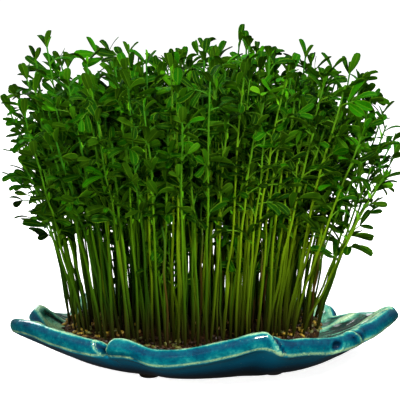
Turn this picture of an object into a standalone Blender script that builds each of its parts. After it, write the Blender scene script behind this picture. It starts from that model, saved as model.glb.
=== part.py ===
"""A tray of lentil sprouts: a hand-formed glazed dish, the mat of roots that fills it, the sprouts that stand in
the mat, and a few loose seeds at its edge. Metres, +Z up. The front is at -Y, and the foot stands at Z = 0."""

import bisect
import math
import random

import bmesh
import bpy
from mathutils import Vector

MM = 0.001

# The dish's rim, seen from above, is an oval that is deeper in front than behind.
RIM_MIDDLE_X = 2 * MM
RIM_HALF_LENGTH = 125 * MM
RIM_FRONT = 88 * MM
RIM_BACK = 73 * MM
RIM_SWELL = 2.5 * MM  # how far a lobe bulges out between two pleats
RIM_POINT = 1.15  # 1 gives a true oval, and more gives it more pointed ends
BACK_TUCKS = [(167, 11 * MM, 13), (46, 6 * MM, 9)]  # two lobes at the back are drawn in: angle, how far, over what
BAND_HEIGHT = 10.5 * MM  # the slab's edge, which faces outwards as a band
LEFT_BAND_HEIGHT = 8 * MM  # the band is thinner at the left end
RIGHT_TIP_THINNER = 6 * MM  # and thinner again at the tip of the right end
FLOOR_Z = 10 * MM
UNDERSIDE_Z = 2.3 * MM
DISH_CENTRE = Vector((6 * MM, -4 * MM, 0))

# Four stub feet: X and Y. Each is a low, flared plug of clay with a flat end.
FEET = [(-32 * MM, -37 * MM), (46 * MM, -31 * MM), (-34 * MM, 30 * MM), (43 * MM, 31 * MM)]
FOOT_RADIUS = 6.5 * MM
FOOT_FLARE = 1.5 * MM
FOOT_SIDES = 16

# Height of the rim's top round the oval. Degrees run from the right end by way of the back.
RIM_TOP = [
    (8, 34), (18, 28), (29, 24), (37, 22), (43, 26), (51, 28), (62, 31), (76, 29), (92, 34),
    (108, 30), (122, 34), (133, 31), (143, 22), (153, 27), (164, 33), (171, 31), (181, 28),
    (194, 32), (211, 36.7), (226, 34.8), (238, 33), (246, 34.5), (251, 33.6), (255, 31), (261, 31), (270, 34),
    (279, 38), (286.5, 41), (293, 35.5), (300, 35), (309, 33), (324, 35), (340, 39.5), (350, 37), (358, 32),
]  # fmt: skip

# Pleats: angle, how far the band is pinched in, how far its top drops, and half the pleat's width in degrees.
PLEATS = [
    (38, 6 * MM, 3 * MM, 4.0),
    (99, 6 * MM, 4 * MM, 4.0),
    (140, 6 * MM, 2 * MM, 5.0),
    (177, 15 * MM, 9 * MM, 7.0),
    (240.3, 9 * MM, 8 * MM, 3.1),
    (325, 2 * MM, 0.4 * MM, 4.0),
]

# The root mat: an oval in the dish, a little left of the middle.
MAT_CENTRE = Vector((-5 * MM, -8 * MM, 0))
MAT_HALF_LENGTH = 83 * MM
MAT_HALF_DEPTH = 65 * MM
MAT_TOP_Z = 29.5 * MM
MAT_DOME = 2.5 * MM  # how far the mat's top sinks from its middle to its edge
GAP = 0.5 * MM  # kept between pieces that rest on one another

# Sprouts
SPROUTS = 46
STEM_RADIUS = 1.05 * MM
STEM_SIDES = 5
CANOPY_TOP_Z = 208 * MM
LEAN_X = 35 * MM
LEAN_Y = 21 * MM
PETIOLE = 11 * MM
LEAFLET = 19 * MM
LEAFLET_HALF_WIDTH = 3.2 * MM
TIP_BLADE = 15 * MM  # the folded young leaves at a stem's tip
TIP_HALF_WIDTH = 2.6 * MM
LEAF_GAP = 1.2 * MM
SEED_RADIUS = 2.3 * MM
SEED_HALF_THICKNESS = 1.3 * MM
GOLDEN_ANGLE = math.pi * (3 - math.sqrt(5))

# Loose seeds at the mat's edge: degrees round the mat's oval.
LOOSE_SEEDS = [4, 140, 162, 171, 193, 204, 213]


def material(name, rgb, roughness):
    made = bpy.data.materials.new(name)
    made.use_nodes = True
    shader = made.node_tree.nodes["Principled BSDF"]
    shader.inputs["Base Color"].default_value = (*rgb, 1)
    shader.inputs["Roughness"].default_value = roughness
    shader.inputs["Metallic"].default_value = 0
    return made


def add_object(name, bm, finish):
    """Closes a bmesh into a named object with smooth round faces and sharp edges."""
    bmesh.ops.recalc_face_normals(bm, faces=bm.faces)
    mesh = bpy.data.meshes.new(name)
    bm.to_mesh(mesh)
    bm.free()
    mesh.materials.append(finish)
    mesh.shade_smooth()
    mesh.set_sharp_from_angle(angle=math.radians(50))
    made = bpy.data.objects.new(name, mesh)
    bpy.context.collection.objects.link(made)
    return made


# ---- the dish ----


def rim_top(degrees):
    """The rim's height, on a smooth curve through RIM_TOP that closes on itself."""
    angles = [a for a, _ in RIM_TOP]
    heights = [h * MM for _, h in RIM_TOP]
    count = len(RIM_TOP)
    after = bisect.bisect_right(angles, degrees) % count
    before = (after - 1) % count
    span = (angles[after] - angles[before]) % 360
    t = ((degrees - angles[before]) % 360) / span
    h0, h1 = heights[before], heights[after]
    slope0 = (h1 - heights[before - 1]) / ((angles[after] - angles[before - 1]) % 360)
    beyond = (after + 1) % count
    slope1 = (heights[beyond] - h0) / ((angles[beyond] - angles[before]) % 360)
    ease = t * t * (3 - 2 * t)
    return (
        h0 + (h1 - h0) * ease
        + span * slope0 * t * (1 - t) ** 2
        - span * slope1 * t * t * (1 - t)
    )  # fmt: skip


def apart(first, second):
    """Degrees from one angle to another, the short way round."""
    return abs((first - second + 180) % 360 - 180)


def pinch(degrees):
    """How far the band is pinched in, and how far its top drops, at this angle."""
    inward = drop = 0.0
    for angle, pinched, dropped, half_width in PLEATS:
        share = max(0.0, 1 - apart(degrees, angle) / half_width)
        inward += pinched * share
        drop += dropped * share
    return inward, drop


def swell(degrees):
    """How far a lobe bulges out, which is nothing at the pleats, less what the back lobes are drawn in."""
    nearest = min(apart(degrees, pleat[0]) for pleat in PLEATS)
    bulge = RIM_SWELL * math.sin(min(nearest / 25, 1) * math.pi / 2)
    for middle, tuck, spread in BACK_TUCKS:
        bulge -= tuck * math.exp(-((apart(degrees, middle) / spread) ** 2))
    return bulge


def rim_point(degrees):
    angle = math.radians(degrees)
    depth = RIM_FRONT if math.sin(angle) < 0 else RIM_BACK
    drawn_in = math.copysign(abs(math.sin(angle)) ** RIM_POINT, math.sin(angle))
    point = Vector((RIM_MIDDLE_X + RIM_HALF_LENGTH * math.cos(angle), depth * drawn_in, 0))
    return point + swell(degrees) * (point - DISH_CENTRE).normalized()


def rim_columns():
    """The angles at which the dish has a column of corners: evenly spaced, with more at the pleats."""
    angles = {float(a) for a in range(0, 360, 5)}
    for angle, _, _, half_width in PLEATS:
        angles = {a for a in angles if apart(a, angle) > half_width + 1}
        angles |= {angle - half_width, float(angle), angle + half_width}
    return sorted(angles)


def inside_profile(degrees):
    """The dish's inner surface at one angle, as (distance from the dish's centre, height), from the middle out."""
    reach = (rim_point(degrees) - DISH_CENTRE).length
    inward, drop = pinch(degrees)
    top = rim_top(degrees) - drop
    rise = top - FLOOR_Z
    return [
        (0.30 * reach, FLOOR_Z),
        (0.50 * reach, FLOOR_Z + 0.03 * rise),
        (0.66 * reach, FLOOR_Z + 0.18 * rise),
        (0.80 * reach, FLOOR_Z + 0.46 * rise),
        (reach - 12 * MM - 0.3 * inward, FLOOR_Z + 0.80 * rise),
        (reach - 6.5 * MM - 0.7 * inward, top - 0.8 * MM),
    ]


def outside_profile(degrees):
    """The rim's band and the underside at one angle, from the top of the band in to the middle."""
    reach = (rim_point(degrees) - DISH_CENTRE).length
    inward, drop = pinch(degrees)
    top = rim_top(degrees)
    leftness = max(0.0, 1 - apart(degrees, 180) / 40)
    height = BAND_HEIGHT + (LEFT_BAND_HEIGHT - BAND_HEIGHT) * leftness
    height -= RIGHT_TIP_THINNER * math.exp(-((apart(degrees, 359) / 10) ** 2))
    lower = top - height
    rise = lower - UNDERSIDE_Z
    return [
        (reach - 3.4 * MM - inward, top - drop),
        (reach - 0.9 * MM - inward, top - drop - 1.5 * MM),
        (reach - inward, top - 0.45 * height - 0.4 * drop),
        (reach - 1.3 * MM - 0.4 * inward, lower),
        (reach - 8 * MM - 0.2 * inward, lower - 3.8 * MM),
        (0.80 * reach, UNDERSIDE_Z + 0.42 * rise),
        (0.66 * reach, UNDERSIDE_Z + 0.12 * rise),
        (0.45 * reach, UNDERSIDE_Z),
    ]


def build_dish(finish):
    bm = bmesh.new()
    columns = []
    for degrees in rim_columns():
        outward = (rim_point(degrees) - DISH_CENTRE).normalized()
        profile = inside_profile(degrees) + outside_profile(degrees)
        columns.append([bm.verts.new(DISH_CENTRE + outward * r + Vector((0, 0, z))) for r, z in profile])
    floor_middle = bm.verts.new(DISH_CENTRE + Vector((0, 0, FLOOR_Z)))
    under_middle = bm.verts.new(DISH_CENTRE + Vector((0, 0, UNDERSIDE_Z)))
    for column, following in zip(columns, columns[1:] + columns[:1]):
        bm.faces.new((floor_middle, column[0], following[0]))
        bm.faces.new((under_middle, following[-1], column[-1]))
        for row in range(len(column) - 1):
            bm.faces.new((column[row], column[row + 1], following[row + 1], following[row]))
    dish = add_object("dish", bm, finish)
    for number, (x, y) in enumerate(FEET):
        add_foot(dish, number, x, y, finish)
    return dish


def add_foot(dish, number, x, y, finish):
    """Joins a stub foot to the underside. Its top is hidden in the clay."""
    height = UNDERSIDE_Z + 3 * MM
    bm = bmesh.new()
    bmesh.ops.create_cone(
        bm, cap_ends=True, segments=FOOT_SIDES, depth=height,
        radius1=FOOT_RADIUS, radius2=FOOT_RADIUS + FOOT_FLARE,
    )  # fmt: skip
    bmesh.ops.translate(bm, verts=bm.verts, vec=(x, y, 0.5 * height))
    foot = add_object(f"foot_{number + 1}", bm, finish)
    foot.hide_render = True
    foot.display_type = "WIRE"
    join = dish.modifiers.new(foot.name, "BOOLEAN")
    join.operation = "UNION"
    join.object = foot


# ---- the root mat ----


def inside_height(degrees, distance):
    """The height of the dish's inner surface at a distance from the dish's centre."""
    profile = [(0.0, FLOOR_Z)] + inside_profile(degrees)
    for (r0, z0), (r1, z1) in zip(profile, profile[1:]):
        if distance <= r1:
            return z0 + (z1 - z0) * (distance - r0) / (r1 - r0)
    return profile[-1][1]


def mat_reach(outward):
    """How far the mat's oval lies from the dish's centre in this direction."""
    start = DISH_CENTRE - MAT_CENTRE
    x, y = start.x / MAT_HALF_LENGTH, start.y / MAT_HALF_DEPTH
    dx, dy = outward.x / MAT_HALF_LENGTH, outward.y / MAT_HALF_DEPTH
    a, b, c = dx * dx + dy * dy, x * dx + y * dy, x * x + y * y - 1
    return (math.sqrt(b * b - a * c) - b) / a


def mat_top(x, y):
    """The height of the mat's top, a low dome."""
    across = (x - MAT_CENTRE.x) / MAT_HALF_LENGTH
    along = (y - MAT_CENTRE.y) / MAT_HALF_DEPTH
    return MAT_TOP_Z - MAT_DOME * (across**2 + along**2)


def build_mat(finish):
    bm = bmesh.new()
    columns = []
    for degrees in rim_columns():
        outward = (rim_point(degrees) - DISH_CENTRE).normalized()
        reach = mat_reach(outward)
        places = []
        for share in (0.35, 0.7, 0.97):
            height = inside_height(degrees, share * reach) + GAP
            places.append(DISH_CENTRE + outward * share * reach + Vector((0, 0, height)))
        for share, sink in ((1.0, 2.2 * MM), (0.965, 0.0), (0.75, 0.0), (0.5, 0.0), (0.25, 0.0)):
            place = DISH_CENTRE + outward * share * reach
            floor = inside_height(degrees, share * reach) + 2 * GAP
            place.z = max(mat_top(place.x, place.y) - sink, floor)
            places.append(place)
        columns.append([bm.verts.new(place) for place in places])
    under = bm.verts.new(DISH_CENTRE + Vector((0, 0, FLOOR_Z + GAP)))
    over = bm.verts.new(DISH_CENTRE + Vector((0, 0, mat_top(DISH_CENTRE.x, DISH_CENTRE.y))))
    for column, following in zip(columns, columns[1:] + columns[:1]):
        bm.faces.new((under, following[0], column[0]))
        bm.faces.new((over, column[-1], following[-1]))
        for row in range(len(column) - 1):
            bm.faces.new((column[row], following[row], following[row + 1], column[row + 1]))
    return add_object("root_mat", bm, finish)


# ---- the sprouts ----


def stem_line(number):
    """A sprout's foot, the point its stem bends at, and its top. Sprouts are spread evenly and lean outwards."""
    rng = random.Random(number)
    share = math.sqrt((number + 0.5) / SPROUTS)
    angle = number * GOLDEN_ANGLE
    across, along = share * math.cos(angle), share * math.sin(angle)
    x = MAT_CENTRE.x + 0.95 * MAT_HALF_LENGTH * across
    y = MAT_CENTRE.y + 0.93 * MAT_HALF_DEPTH * along
    foot = Vector((x, y, mat_top(x, y) + GAP))
    lean = Vector((LEAN_X * across * share, LEAN_Y * along * share, 0))
    sway = Vector((rng.uniform(-6, 6) * MM, rng.uniform(-6, 6) * MM, 0))
    height = CANOPY_TOP_Z - 26 * MM * share**4 - rng.uniform(0, 24) * MM
    top = Vector((x, y, height)) + lean + sway
    bend = foot.lerp(top, 0.55) - 0.45 * lean + 0.4 * Vector((sway.y, -sway.x, 0))
    return foot, bend, top


def on_stem(line, t):
    foot, bend, top = line
    return foot * (1 - t) ** 2 + bend * 2 * t * (1 - t) + top * t * t


def across_of(direction):
    """A level unit vector square to a direction, and the third one, square to both."""
    side = Vector((-direction.y, direction.x, 0))
    side = side.normalized() if side.length > 1e-6 else Vector((1, 0, 0))
    return side, direction.cross(side).normalized()


def grow(bm, face, spokes, stations):
    """Extrudes a face through stations of (middle, across, up, half width, half thickness)."""
    for middle, across, up, half_width, half_thickness in stations:
        face = bmesh.ops.extrude_discrete_faces(bm, faces=[face])["faces"][0]
        for vert, (c, s) in zip(face.verts, spokes):
            vert.co = middle + across * half_width * c + up * half_thickness * s
    return face


def spokes_of(face, across, up):
    """Where a face's corners lie round its middle, as the cosine and sine of an angle for each corner."""
    middle = face.calc_center_median()
    width = max(abs((v.co - middle).dot(across)) for v in face.verts)
    height = max(abs((v.co - middle).dot(up)) for v in face.verts)
    found = []
    for vert in face.verts:
        angle = math.atan2((vert.co - middle).dot(up) / height, (vert.co - middle).dot(across) / width)
        found.append((math.cos(angle), math.sin(angle)))
    return found


def leaf_points(start, azimuth, rise, petiole, leaflet):
    """Where a leaf starts, where its stalk ends, its blade's widest place and its tip, arching over a little."""
    points = [start]
    for length, tilt in ((petiole, rise), (0.55 * leaflet, rise - 0.25), (0.45 * leaflet, rise - 0.55)):
        ahead = Vector((math.cos(azimuth) * math.cos(tilt), math.sin(azimuth) * math.cos(tilt), math.sin(tilt)))
        points.append(points[-1] + ahead * length)
    return points


def leaf_spheres(points):
    """Balls that hold a leaf, as (middle, radius), to keep leaves off one another."""
    widths = (0.6 * MM, 0.6 * MM, LEAFLET_HALF_WIDTH, 1.4 * MM)
    balls = []
    for (p, q), (a, b) in zip(zip(points, points[1:]), zip(widths, widths[1:])):
        for share in (0.25, 0.5, 0.75, 1.0):
            balls.append((p.lerp(q, share), a + (b - a) * share))
    return balls


def stem_spheres(line):
    """Balls that hold a stem and the blade at its tip."""
    count = 60
    balls = [(on_stem(line, n / count), 1.5 * STEM_RADIUS) for n in range(count + 1)]
    lean = (on_stem(line, 1) - on_stem(line, 0.9)).normalized()
    balls += [(on_stem(line, 1) + lean * TIP_BLADE * n / 5, TIP_HALF_WIDTH) for n in range(1, 6)]
    return balls


def clear_of(balls, others):
    for middle, radius in balls:
        for other, size in others:
            reach = radius + size + LEAF_GAP
            if abs(middle.x - other.x) < reach and (middle - other).length < reach:
                return False
    return True


def place_leaves(number, line, stems, taken):
    """Chooses each leaf's direction, so that it meets no other leaf and no other stem."""
    rng = random.Random(1000 + number)
    own = stem_spheres(line)
    foot = line[0] - MAT_CENTRE
    turn = math.atan2(foot.y, foot.x) + rng.uniform(-0.4, 0.4)
    leaves, own_leaves = [], []
    for height, petiole, leaflet in ((0.60, 1.1, 1.0), (0.74, 1.0, 1.0), (0.85, 0.9, 0.9), (0.94, 0.9, 0.9)):
        turn += math.pi * rng.uniform(0.85, 1.15)
        start = on_stem(line, height)
        near = [ball for n, ball_list in stems.items() if n != number for ball in ball_list]
        near += [ball for ball in own if (ball[0] - start).length > 6 * MM]
        for attempt in range(40):
            azimuth = turn + rng.uniform(-0.1, 0.1) * attempt
            rise = rng.uniform(0.35, 0.95)
            points = leaf_points(start, azimuth, rise, PETIOLE * petiole, LEAFLET * leaflet)
            balls = leaf_spheres(points)
            if clear_of(balls, near) and clear_of(balls, taken) and clear_of(balls[3:], own_leaves):
                leaves.append((height, azimuth, rise, petiole, leaflet))
                own_leaves.extend(balls)
                break
    taken.extend(own_leaves)
    return leaves


def build_sprout(number, line, leaves, finish):
    """A lentil sprout grown as one piece: its seed, its stem, its leaf stalks and its blades."""
    bm = bmesh.new()
    foot, _, top = line
    level, depth = Vector((1, 0, 0)), Vector((0, 1, 0))
    spokes = [
        (math.cos(math.tau * n / STEM_SIDES), math.sin(math.tau * n / STEM_SIDES)) for n in range(STEM_SIDES)
    ]
    base = [bm.verts.new(foot + (level * c + depth * s) * 0.8 * MM) for c, s in spokes]
    face = bm.faces.new(base)
    seed_middle = foot + Vector((0, 0, SEED_HALF_THICKNESS))
    seed_top = foot + Vector((0, 0, 2 * SEED_HALF_THICKNESS))
    face = grow(
        bm, face, spokes,
        [(seed_middle, level, depth, SEED_RADIUS, SEED_RADIUS), (seed_top, level, depth, STEM_RADIUS, STEM_RADIUS)],
    )  # fmt: skip
    heights = sorted({leaf[0] for leaf in leaves})
    length = (top - foot).length
    stops = [0.3]
    for height in heights:
        stops += [height - 0.9 * MM / length, height + 0.9 * MM / length]
    bands = {}
    for stop in stops:
        radius = STEM_RADIUS * (1 - 0.35 * stop)
        before = face
        face = grow(bm, face, spokes, [(on_stem(line, stop), level, depth, radius, radius)])
        sides = [f for edge in face.edges for f in edge.link_faces if f is not face]
        for height in heights:
            if stop > height > stop - 4 * MM / length:
                bands[height] = sides
    tip = on_stem(line, 1)
    lean = (tip - on_stem(line, 0.9)).normalized()
    across, over = across_of(lean)
    grow(
        bm, face, spokes_of(face, across, over),
        [
            (tip, across, over, 0.45 * MM, 0.45 * MM),
            (tip + lean * 0.5 * TIP_BLADE, across, over, TIP_HALF_WIDTH, 0.5 * MM),
            (tip + lean * TIP_BLADE, across, over, 0.9 * MM, 0.3 * MM),
        ],
    )  # fmt: skip
    for height, azimuth, rise, petiole, leaflet in leaves:
        ahead = Vector((math.cos(azimuth), math.sin(azimuth), 0))
        side_face = max(bands[height], key=lambda f: f.normal.dot(ahead) if f.is_valid else -2)
        bands[height].remove(side_face)
        start = side_face.calc_center_median()
        points = leaf_points(start, azimuth, rise, PETIOLE * petiole, LEAFLET * leaflet)
        across = Vector((-ahead.y, ahead.x, 0))
        corners = spokes_of(side_face, across, Vector((0, 0, 1)))
        stations = []
        for index, half_width, half_thickness in ((1, 0.6, 0.55), (2, LEAFLET_HALF_WIDTH / MM, 0.45), (3, 1.3, 0.3)):
            run = (points[index] - points[index - 1]).normalized()
            up = run.cross(across).normalized()
            up = up if up.z > 0 else -up
            stations.append((points[index], across, up, half_width * MM * 1.2, half_thickness * MM * 1.2))
        grow(bm, side_face, corners, stations)
    bm.faces.new(list(reversed(base)))
    return add_object(f"sprout_{number + 1:02d}", bm, finish)


def build_seed(number, degrees, finish):
    """A loose lentil, a small flat lens that lies on the mat's edge."""
    angle = math.radians(degrees)
    x = MAT_CENTRE.x + 0.93 * MAT_HALF_LENGTH * math.cos(angle)
    y = MAT_CENTRE.y + 0.93 * MAT_HALF_DEPTH * math.sin(angle)
    bm = bmesh.new()
    bmesh.ops.create_uvsphere(bm, u_segments=8, v_segments=5, radius=1)
    rest = Vector((x, y, mat_top(x, y) + GAP + SEED_HALF_THICKNESS))
    for vert in bm.verts:
        co = vert.co
        vert.co = rest + Vector((co.x * SEED_RADIUS, co.y * SEED_RADIUS, co.z * SEED_HALF_THICKNESS))
    return add_object(f"seed_{number + 1:02d}", bm, finish)


def centre_model():
    """Hangs every piece on an empty, which sets the middle of the whole model's box over the origin."""
    pieces = list(bpy.data.objects)
    places = [vert.co for piece in pieces if not piece.hide_render for vert in piece.data.vertices]
    middle_x = 0.5 * (min(p.x for p in places) + max(p.x for p in places))
    middle_y = 0.5 * (min(p.y for p in places) + max(p.y for p in places))
    stand = bpy.data.objects.new("stand", None)
    stand.location = (-middle_x, -middle_y, 0)
    bpy.context.collection.objects.link(stand)
    for piece in pieces:
        piece.parent = stand


def main():
    for old in list(bpy.data.objects):
        bpy.data.objects.remove(old)
    glaze = material("turquoise_glaze", (0.01, 0.16, 0.24), 0.12)
    roots = material("root_felt", (0.12, 0.06, 0.02), 0.9)
    green = material("sprout_green", (0.03, 0.14, 0.01), 0.5)
    husk = material("seed_husk", (0.42, 0.28, 0.05), 0.6)

    build_dish(glaze)
    build_mat(roots)
    lines = [stem_line(number) for number in range(SPROUTS)]
    stems = {number: stem_spheres(line) for number, line in enumerate(lines)}
    taken = []
    for number, line in enumerate(lines):
        leaves = place_leaves(number, line, stems, taken)
        build_sprout(number, line, leaves, green)
    for number, degrees in enumerate(LOOSE_SEEDS):
        build_seed(number, degrees, husk)
    centre_model()


main()
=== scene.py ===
"""Lentil sprouts in a hand-formed glazed dish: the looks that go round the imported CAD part.

Metres, +Z up, the front at -Y. The dish, its feet, the root mat, the loose lentils and 46 sprouts are modelled here,
and each stands for its own CAD node. More sprouts, a litter of seed and root threads fill the space between them."""

import bisect
import math
import random
from typing import NamedTuple

import bpy
import numpy as np
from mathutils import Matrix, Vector, noise


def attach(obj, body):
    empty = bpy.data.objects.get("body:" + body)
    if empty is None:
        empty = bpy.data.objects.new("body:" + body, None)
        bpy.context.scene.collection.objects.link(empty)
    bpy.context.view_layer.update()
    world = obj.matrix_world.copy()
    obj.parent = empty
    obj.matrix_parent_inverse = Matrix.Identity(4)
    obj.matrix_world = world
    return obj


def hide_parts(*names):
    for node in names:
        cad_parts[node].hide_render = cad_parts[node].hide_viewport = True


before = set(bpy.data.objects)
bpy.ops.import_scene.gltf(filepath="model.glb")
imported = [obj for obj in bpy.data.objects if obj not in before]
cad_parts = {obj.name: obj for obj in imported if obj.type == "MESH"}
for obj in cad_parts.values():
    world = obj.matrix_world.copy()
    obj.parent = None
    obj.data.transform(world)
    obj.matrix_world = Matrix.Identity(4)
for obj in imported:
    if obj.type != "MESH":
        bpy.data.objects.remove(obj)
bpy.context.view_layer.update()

MM = 0.001

# ---- measures shared with the CAD part ----

# The CAD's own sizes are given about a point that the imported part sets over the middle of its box.
STAND = Vector((0.3154 * MM, 7.1048 * MM, 0))
RIM_MIDDLE_X = 2 * MM
RIM_HALF_LENGTH = 125 * MM
RIM_FRONT = 88 * MM
RIM_BACK = 73 * MM
RIM_SWELL = 2.5 * MM  # how far a lobe bulges out between two pleats
RIM_POINT = 1.15  # above 1, the oval's ends are more pointed
BACK_TUCKS = [(167, 11 * MM, 13), (46, 6 * MM, 9)]  # two lobes at the back are drawn in: angle, how far, over what
BAND_HEIGHT = 10.5 * MM
LEFT_BAND_HEIGHT = 8 * MM
RIGHT_TIP_THINNER = 6 * MM
FLOOR_Z = 10 * MM
UNDERSIDE_Z = 2.3 * MM
DISH_CENTRE = Vector((6 * MM, -4 * MM, 0))
FEET = [(-32 * MM, -37 * MM), (46 * MM, -31 * MM), (-34 * MM, 30 * MM), (43 * MM, 31 * MM)]
FOOT_RADIUS = 6.5 * MM
FOOT_FLARE = 1.5 * MM

# Height of the rim's top round the oval, in mm. Degrees run from the right end by way of the back.
RIM_TOP = [
    (8, 34), (18, 28), (29, 24), (37, 22), (43, 26), (51, 28), (62, 31), (76, 29), (92, 34),
    (108, 30), (122, 34), (133, 31), (143, 22), (153, 27), (164, 33), (171, 31), (181, 28),
    (194, 32), (211, 36.7), (226, 34.8), (238, 33), (246, 34.5), (251, 33.6), (255, 31), (261, 31), (270, 34),
    (279, 38), (286.5, 41), (293, 35.5), (300, 35), (309, 33), (324, 35), (340, 39.5), (350, 37), (358, 32),
]  # fmt: skip

# Pleats: angle, how far the band is pinched in, how far its top drops, and half the pleat's width in degrees.
PLEATS = [
    (38, 6 * MM, 3 * MM, 4.0),
    (99, 6 * MM, 4 * MM, 4.0),
    (140, 6 * MM, 2 * MM, 5.0),
    (177, 15 * MM, 9 * MM, 7.0),
    (240.3, 9 * MM, 8 * MM, 3.1),
    (325, 2 * MM, 0.4 * MM, 4.0),
]

MAT_CENTRE = Vector((-5 * MM, -8 * MM, 0))
MAT_HALF_LENGTH = 83 * MM
MAT_HALF_DEPTH = 65 * MM
MAT_TOP_Z = 29.5 * MM
MAT_DOME = 2.5 * MM  # how far the mat's top sinks from its middle to its edge
GAP = 0.5 * MM  # kept between pieces that rest on one another
CAD_SPROUTS = 46
STEMS_OUT_X, STEMS_OUT_Y = 0.95, 0.93  # how far out on the mat's oval the CAD's stems stand
CANOPY_TOP_Z = 208 * MM
LEAN_X, LEAN_Y = 35 * MM, 21 * MM  # how far an outermost stem leans out
CAD_SWAY = 6 * MM
CAD_LEAF_HEIGHTS = (0.60, 0.74, 0.85, 0.94)  # where the CAD's leaves grow, as shares of the stem
CAD_LEAF_REACH = 28 * MM
CAD_LEAF_CLEAR = 16 * MM  # a corner further than this from the stem belongs to a leaf
CAD_TIPS_APART = 12 * MM
SEED_HALF_THICKNESS = 1.3 * MM
GOLDEN_ANGLE = math.pi * (3 - math.sqrt(5))
LOOSE_SEEDS = [4, 140, 162, 171, 193, 204, 213]

# ---- measures of the looks ----

DISH_COLUMNS = 360
MORE_SPROUTS = 370
MORE_OUT_X, MORE_OUT_Y = 0.965, 0.955  # how far out the added ones stand
SPROUT_SPACING = 4.6 * MM
BUNCHES = 24
DRIED_SHARE = 0.035  # of the stems
QUARTERS = 4  # litter and root threads are laid in four pieces, a quarter of the mat each
HUSKS_IN_QUARTER = 170
THREADS_IN_QUARTER = 110


# ---- materials ----


def linear(hex_colour):
    """An sRGB hex colour as a linear one with alpha."""
    values = [int(hex_colour[n : n + 2], 16) / 255 for n in (1, 3, 5)]
    return (*(v / 12.92 if v <= 0.04045 else ((v + 0.055) / 1.055) ** 2.4 for v in values), 1)


def add_node(tree, kind, inputs=None, stops=None, **settings):
    """Adds a node with its settings. An input takes a node's first output, a socket, a hex colour or a plain value."""
    made = tree.nodes.new("ShaderNode" + kind)
    for name, value in settings.items():
        setattr(made, name, value)
    if stops:
        while len(made.color_ramp.elements) < len(stops):
            made.color_ramp.elements.new(0.5)
        for element, (place, colour) in zip(made.color_ramp.elements, stops):
            element.position = place
            element.color = linear(colour)
    for name, value in (inputs or {}).items():
        if isinstance(value, bpy.types.Node):
            value = value.outputs[0]
        if isinstance(value, bpy.types.NodeSocket):
            tree.links.new(value, made.inputs[name])
        else:
            made.inputs[name].default_value = linear(value) if isinstance(value, str) else value
    return made


def new_material(name, **constants):
    """A material whose Principled shader has these constants, as (material, tree, shader)."""
    made = bpy.data.materials.new(name)
    made.use_nodes = True
    tree = made.node_tree
    shader = tree.nodes["Principled BSDF"]
    for key, value in constants.items():
        shader.inputs[key.replace("_", " ")].default_value = value
    return made, tree, shader


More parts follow.
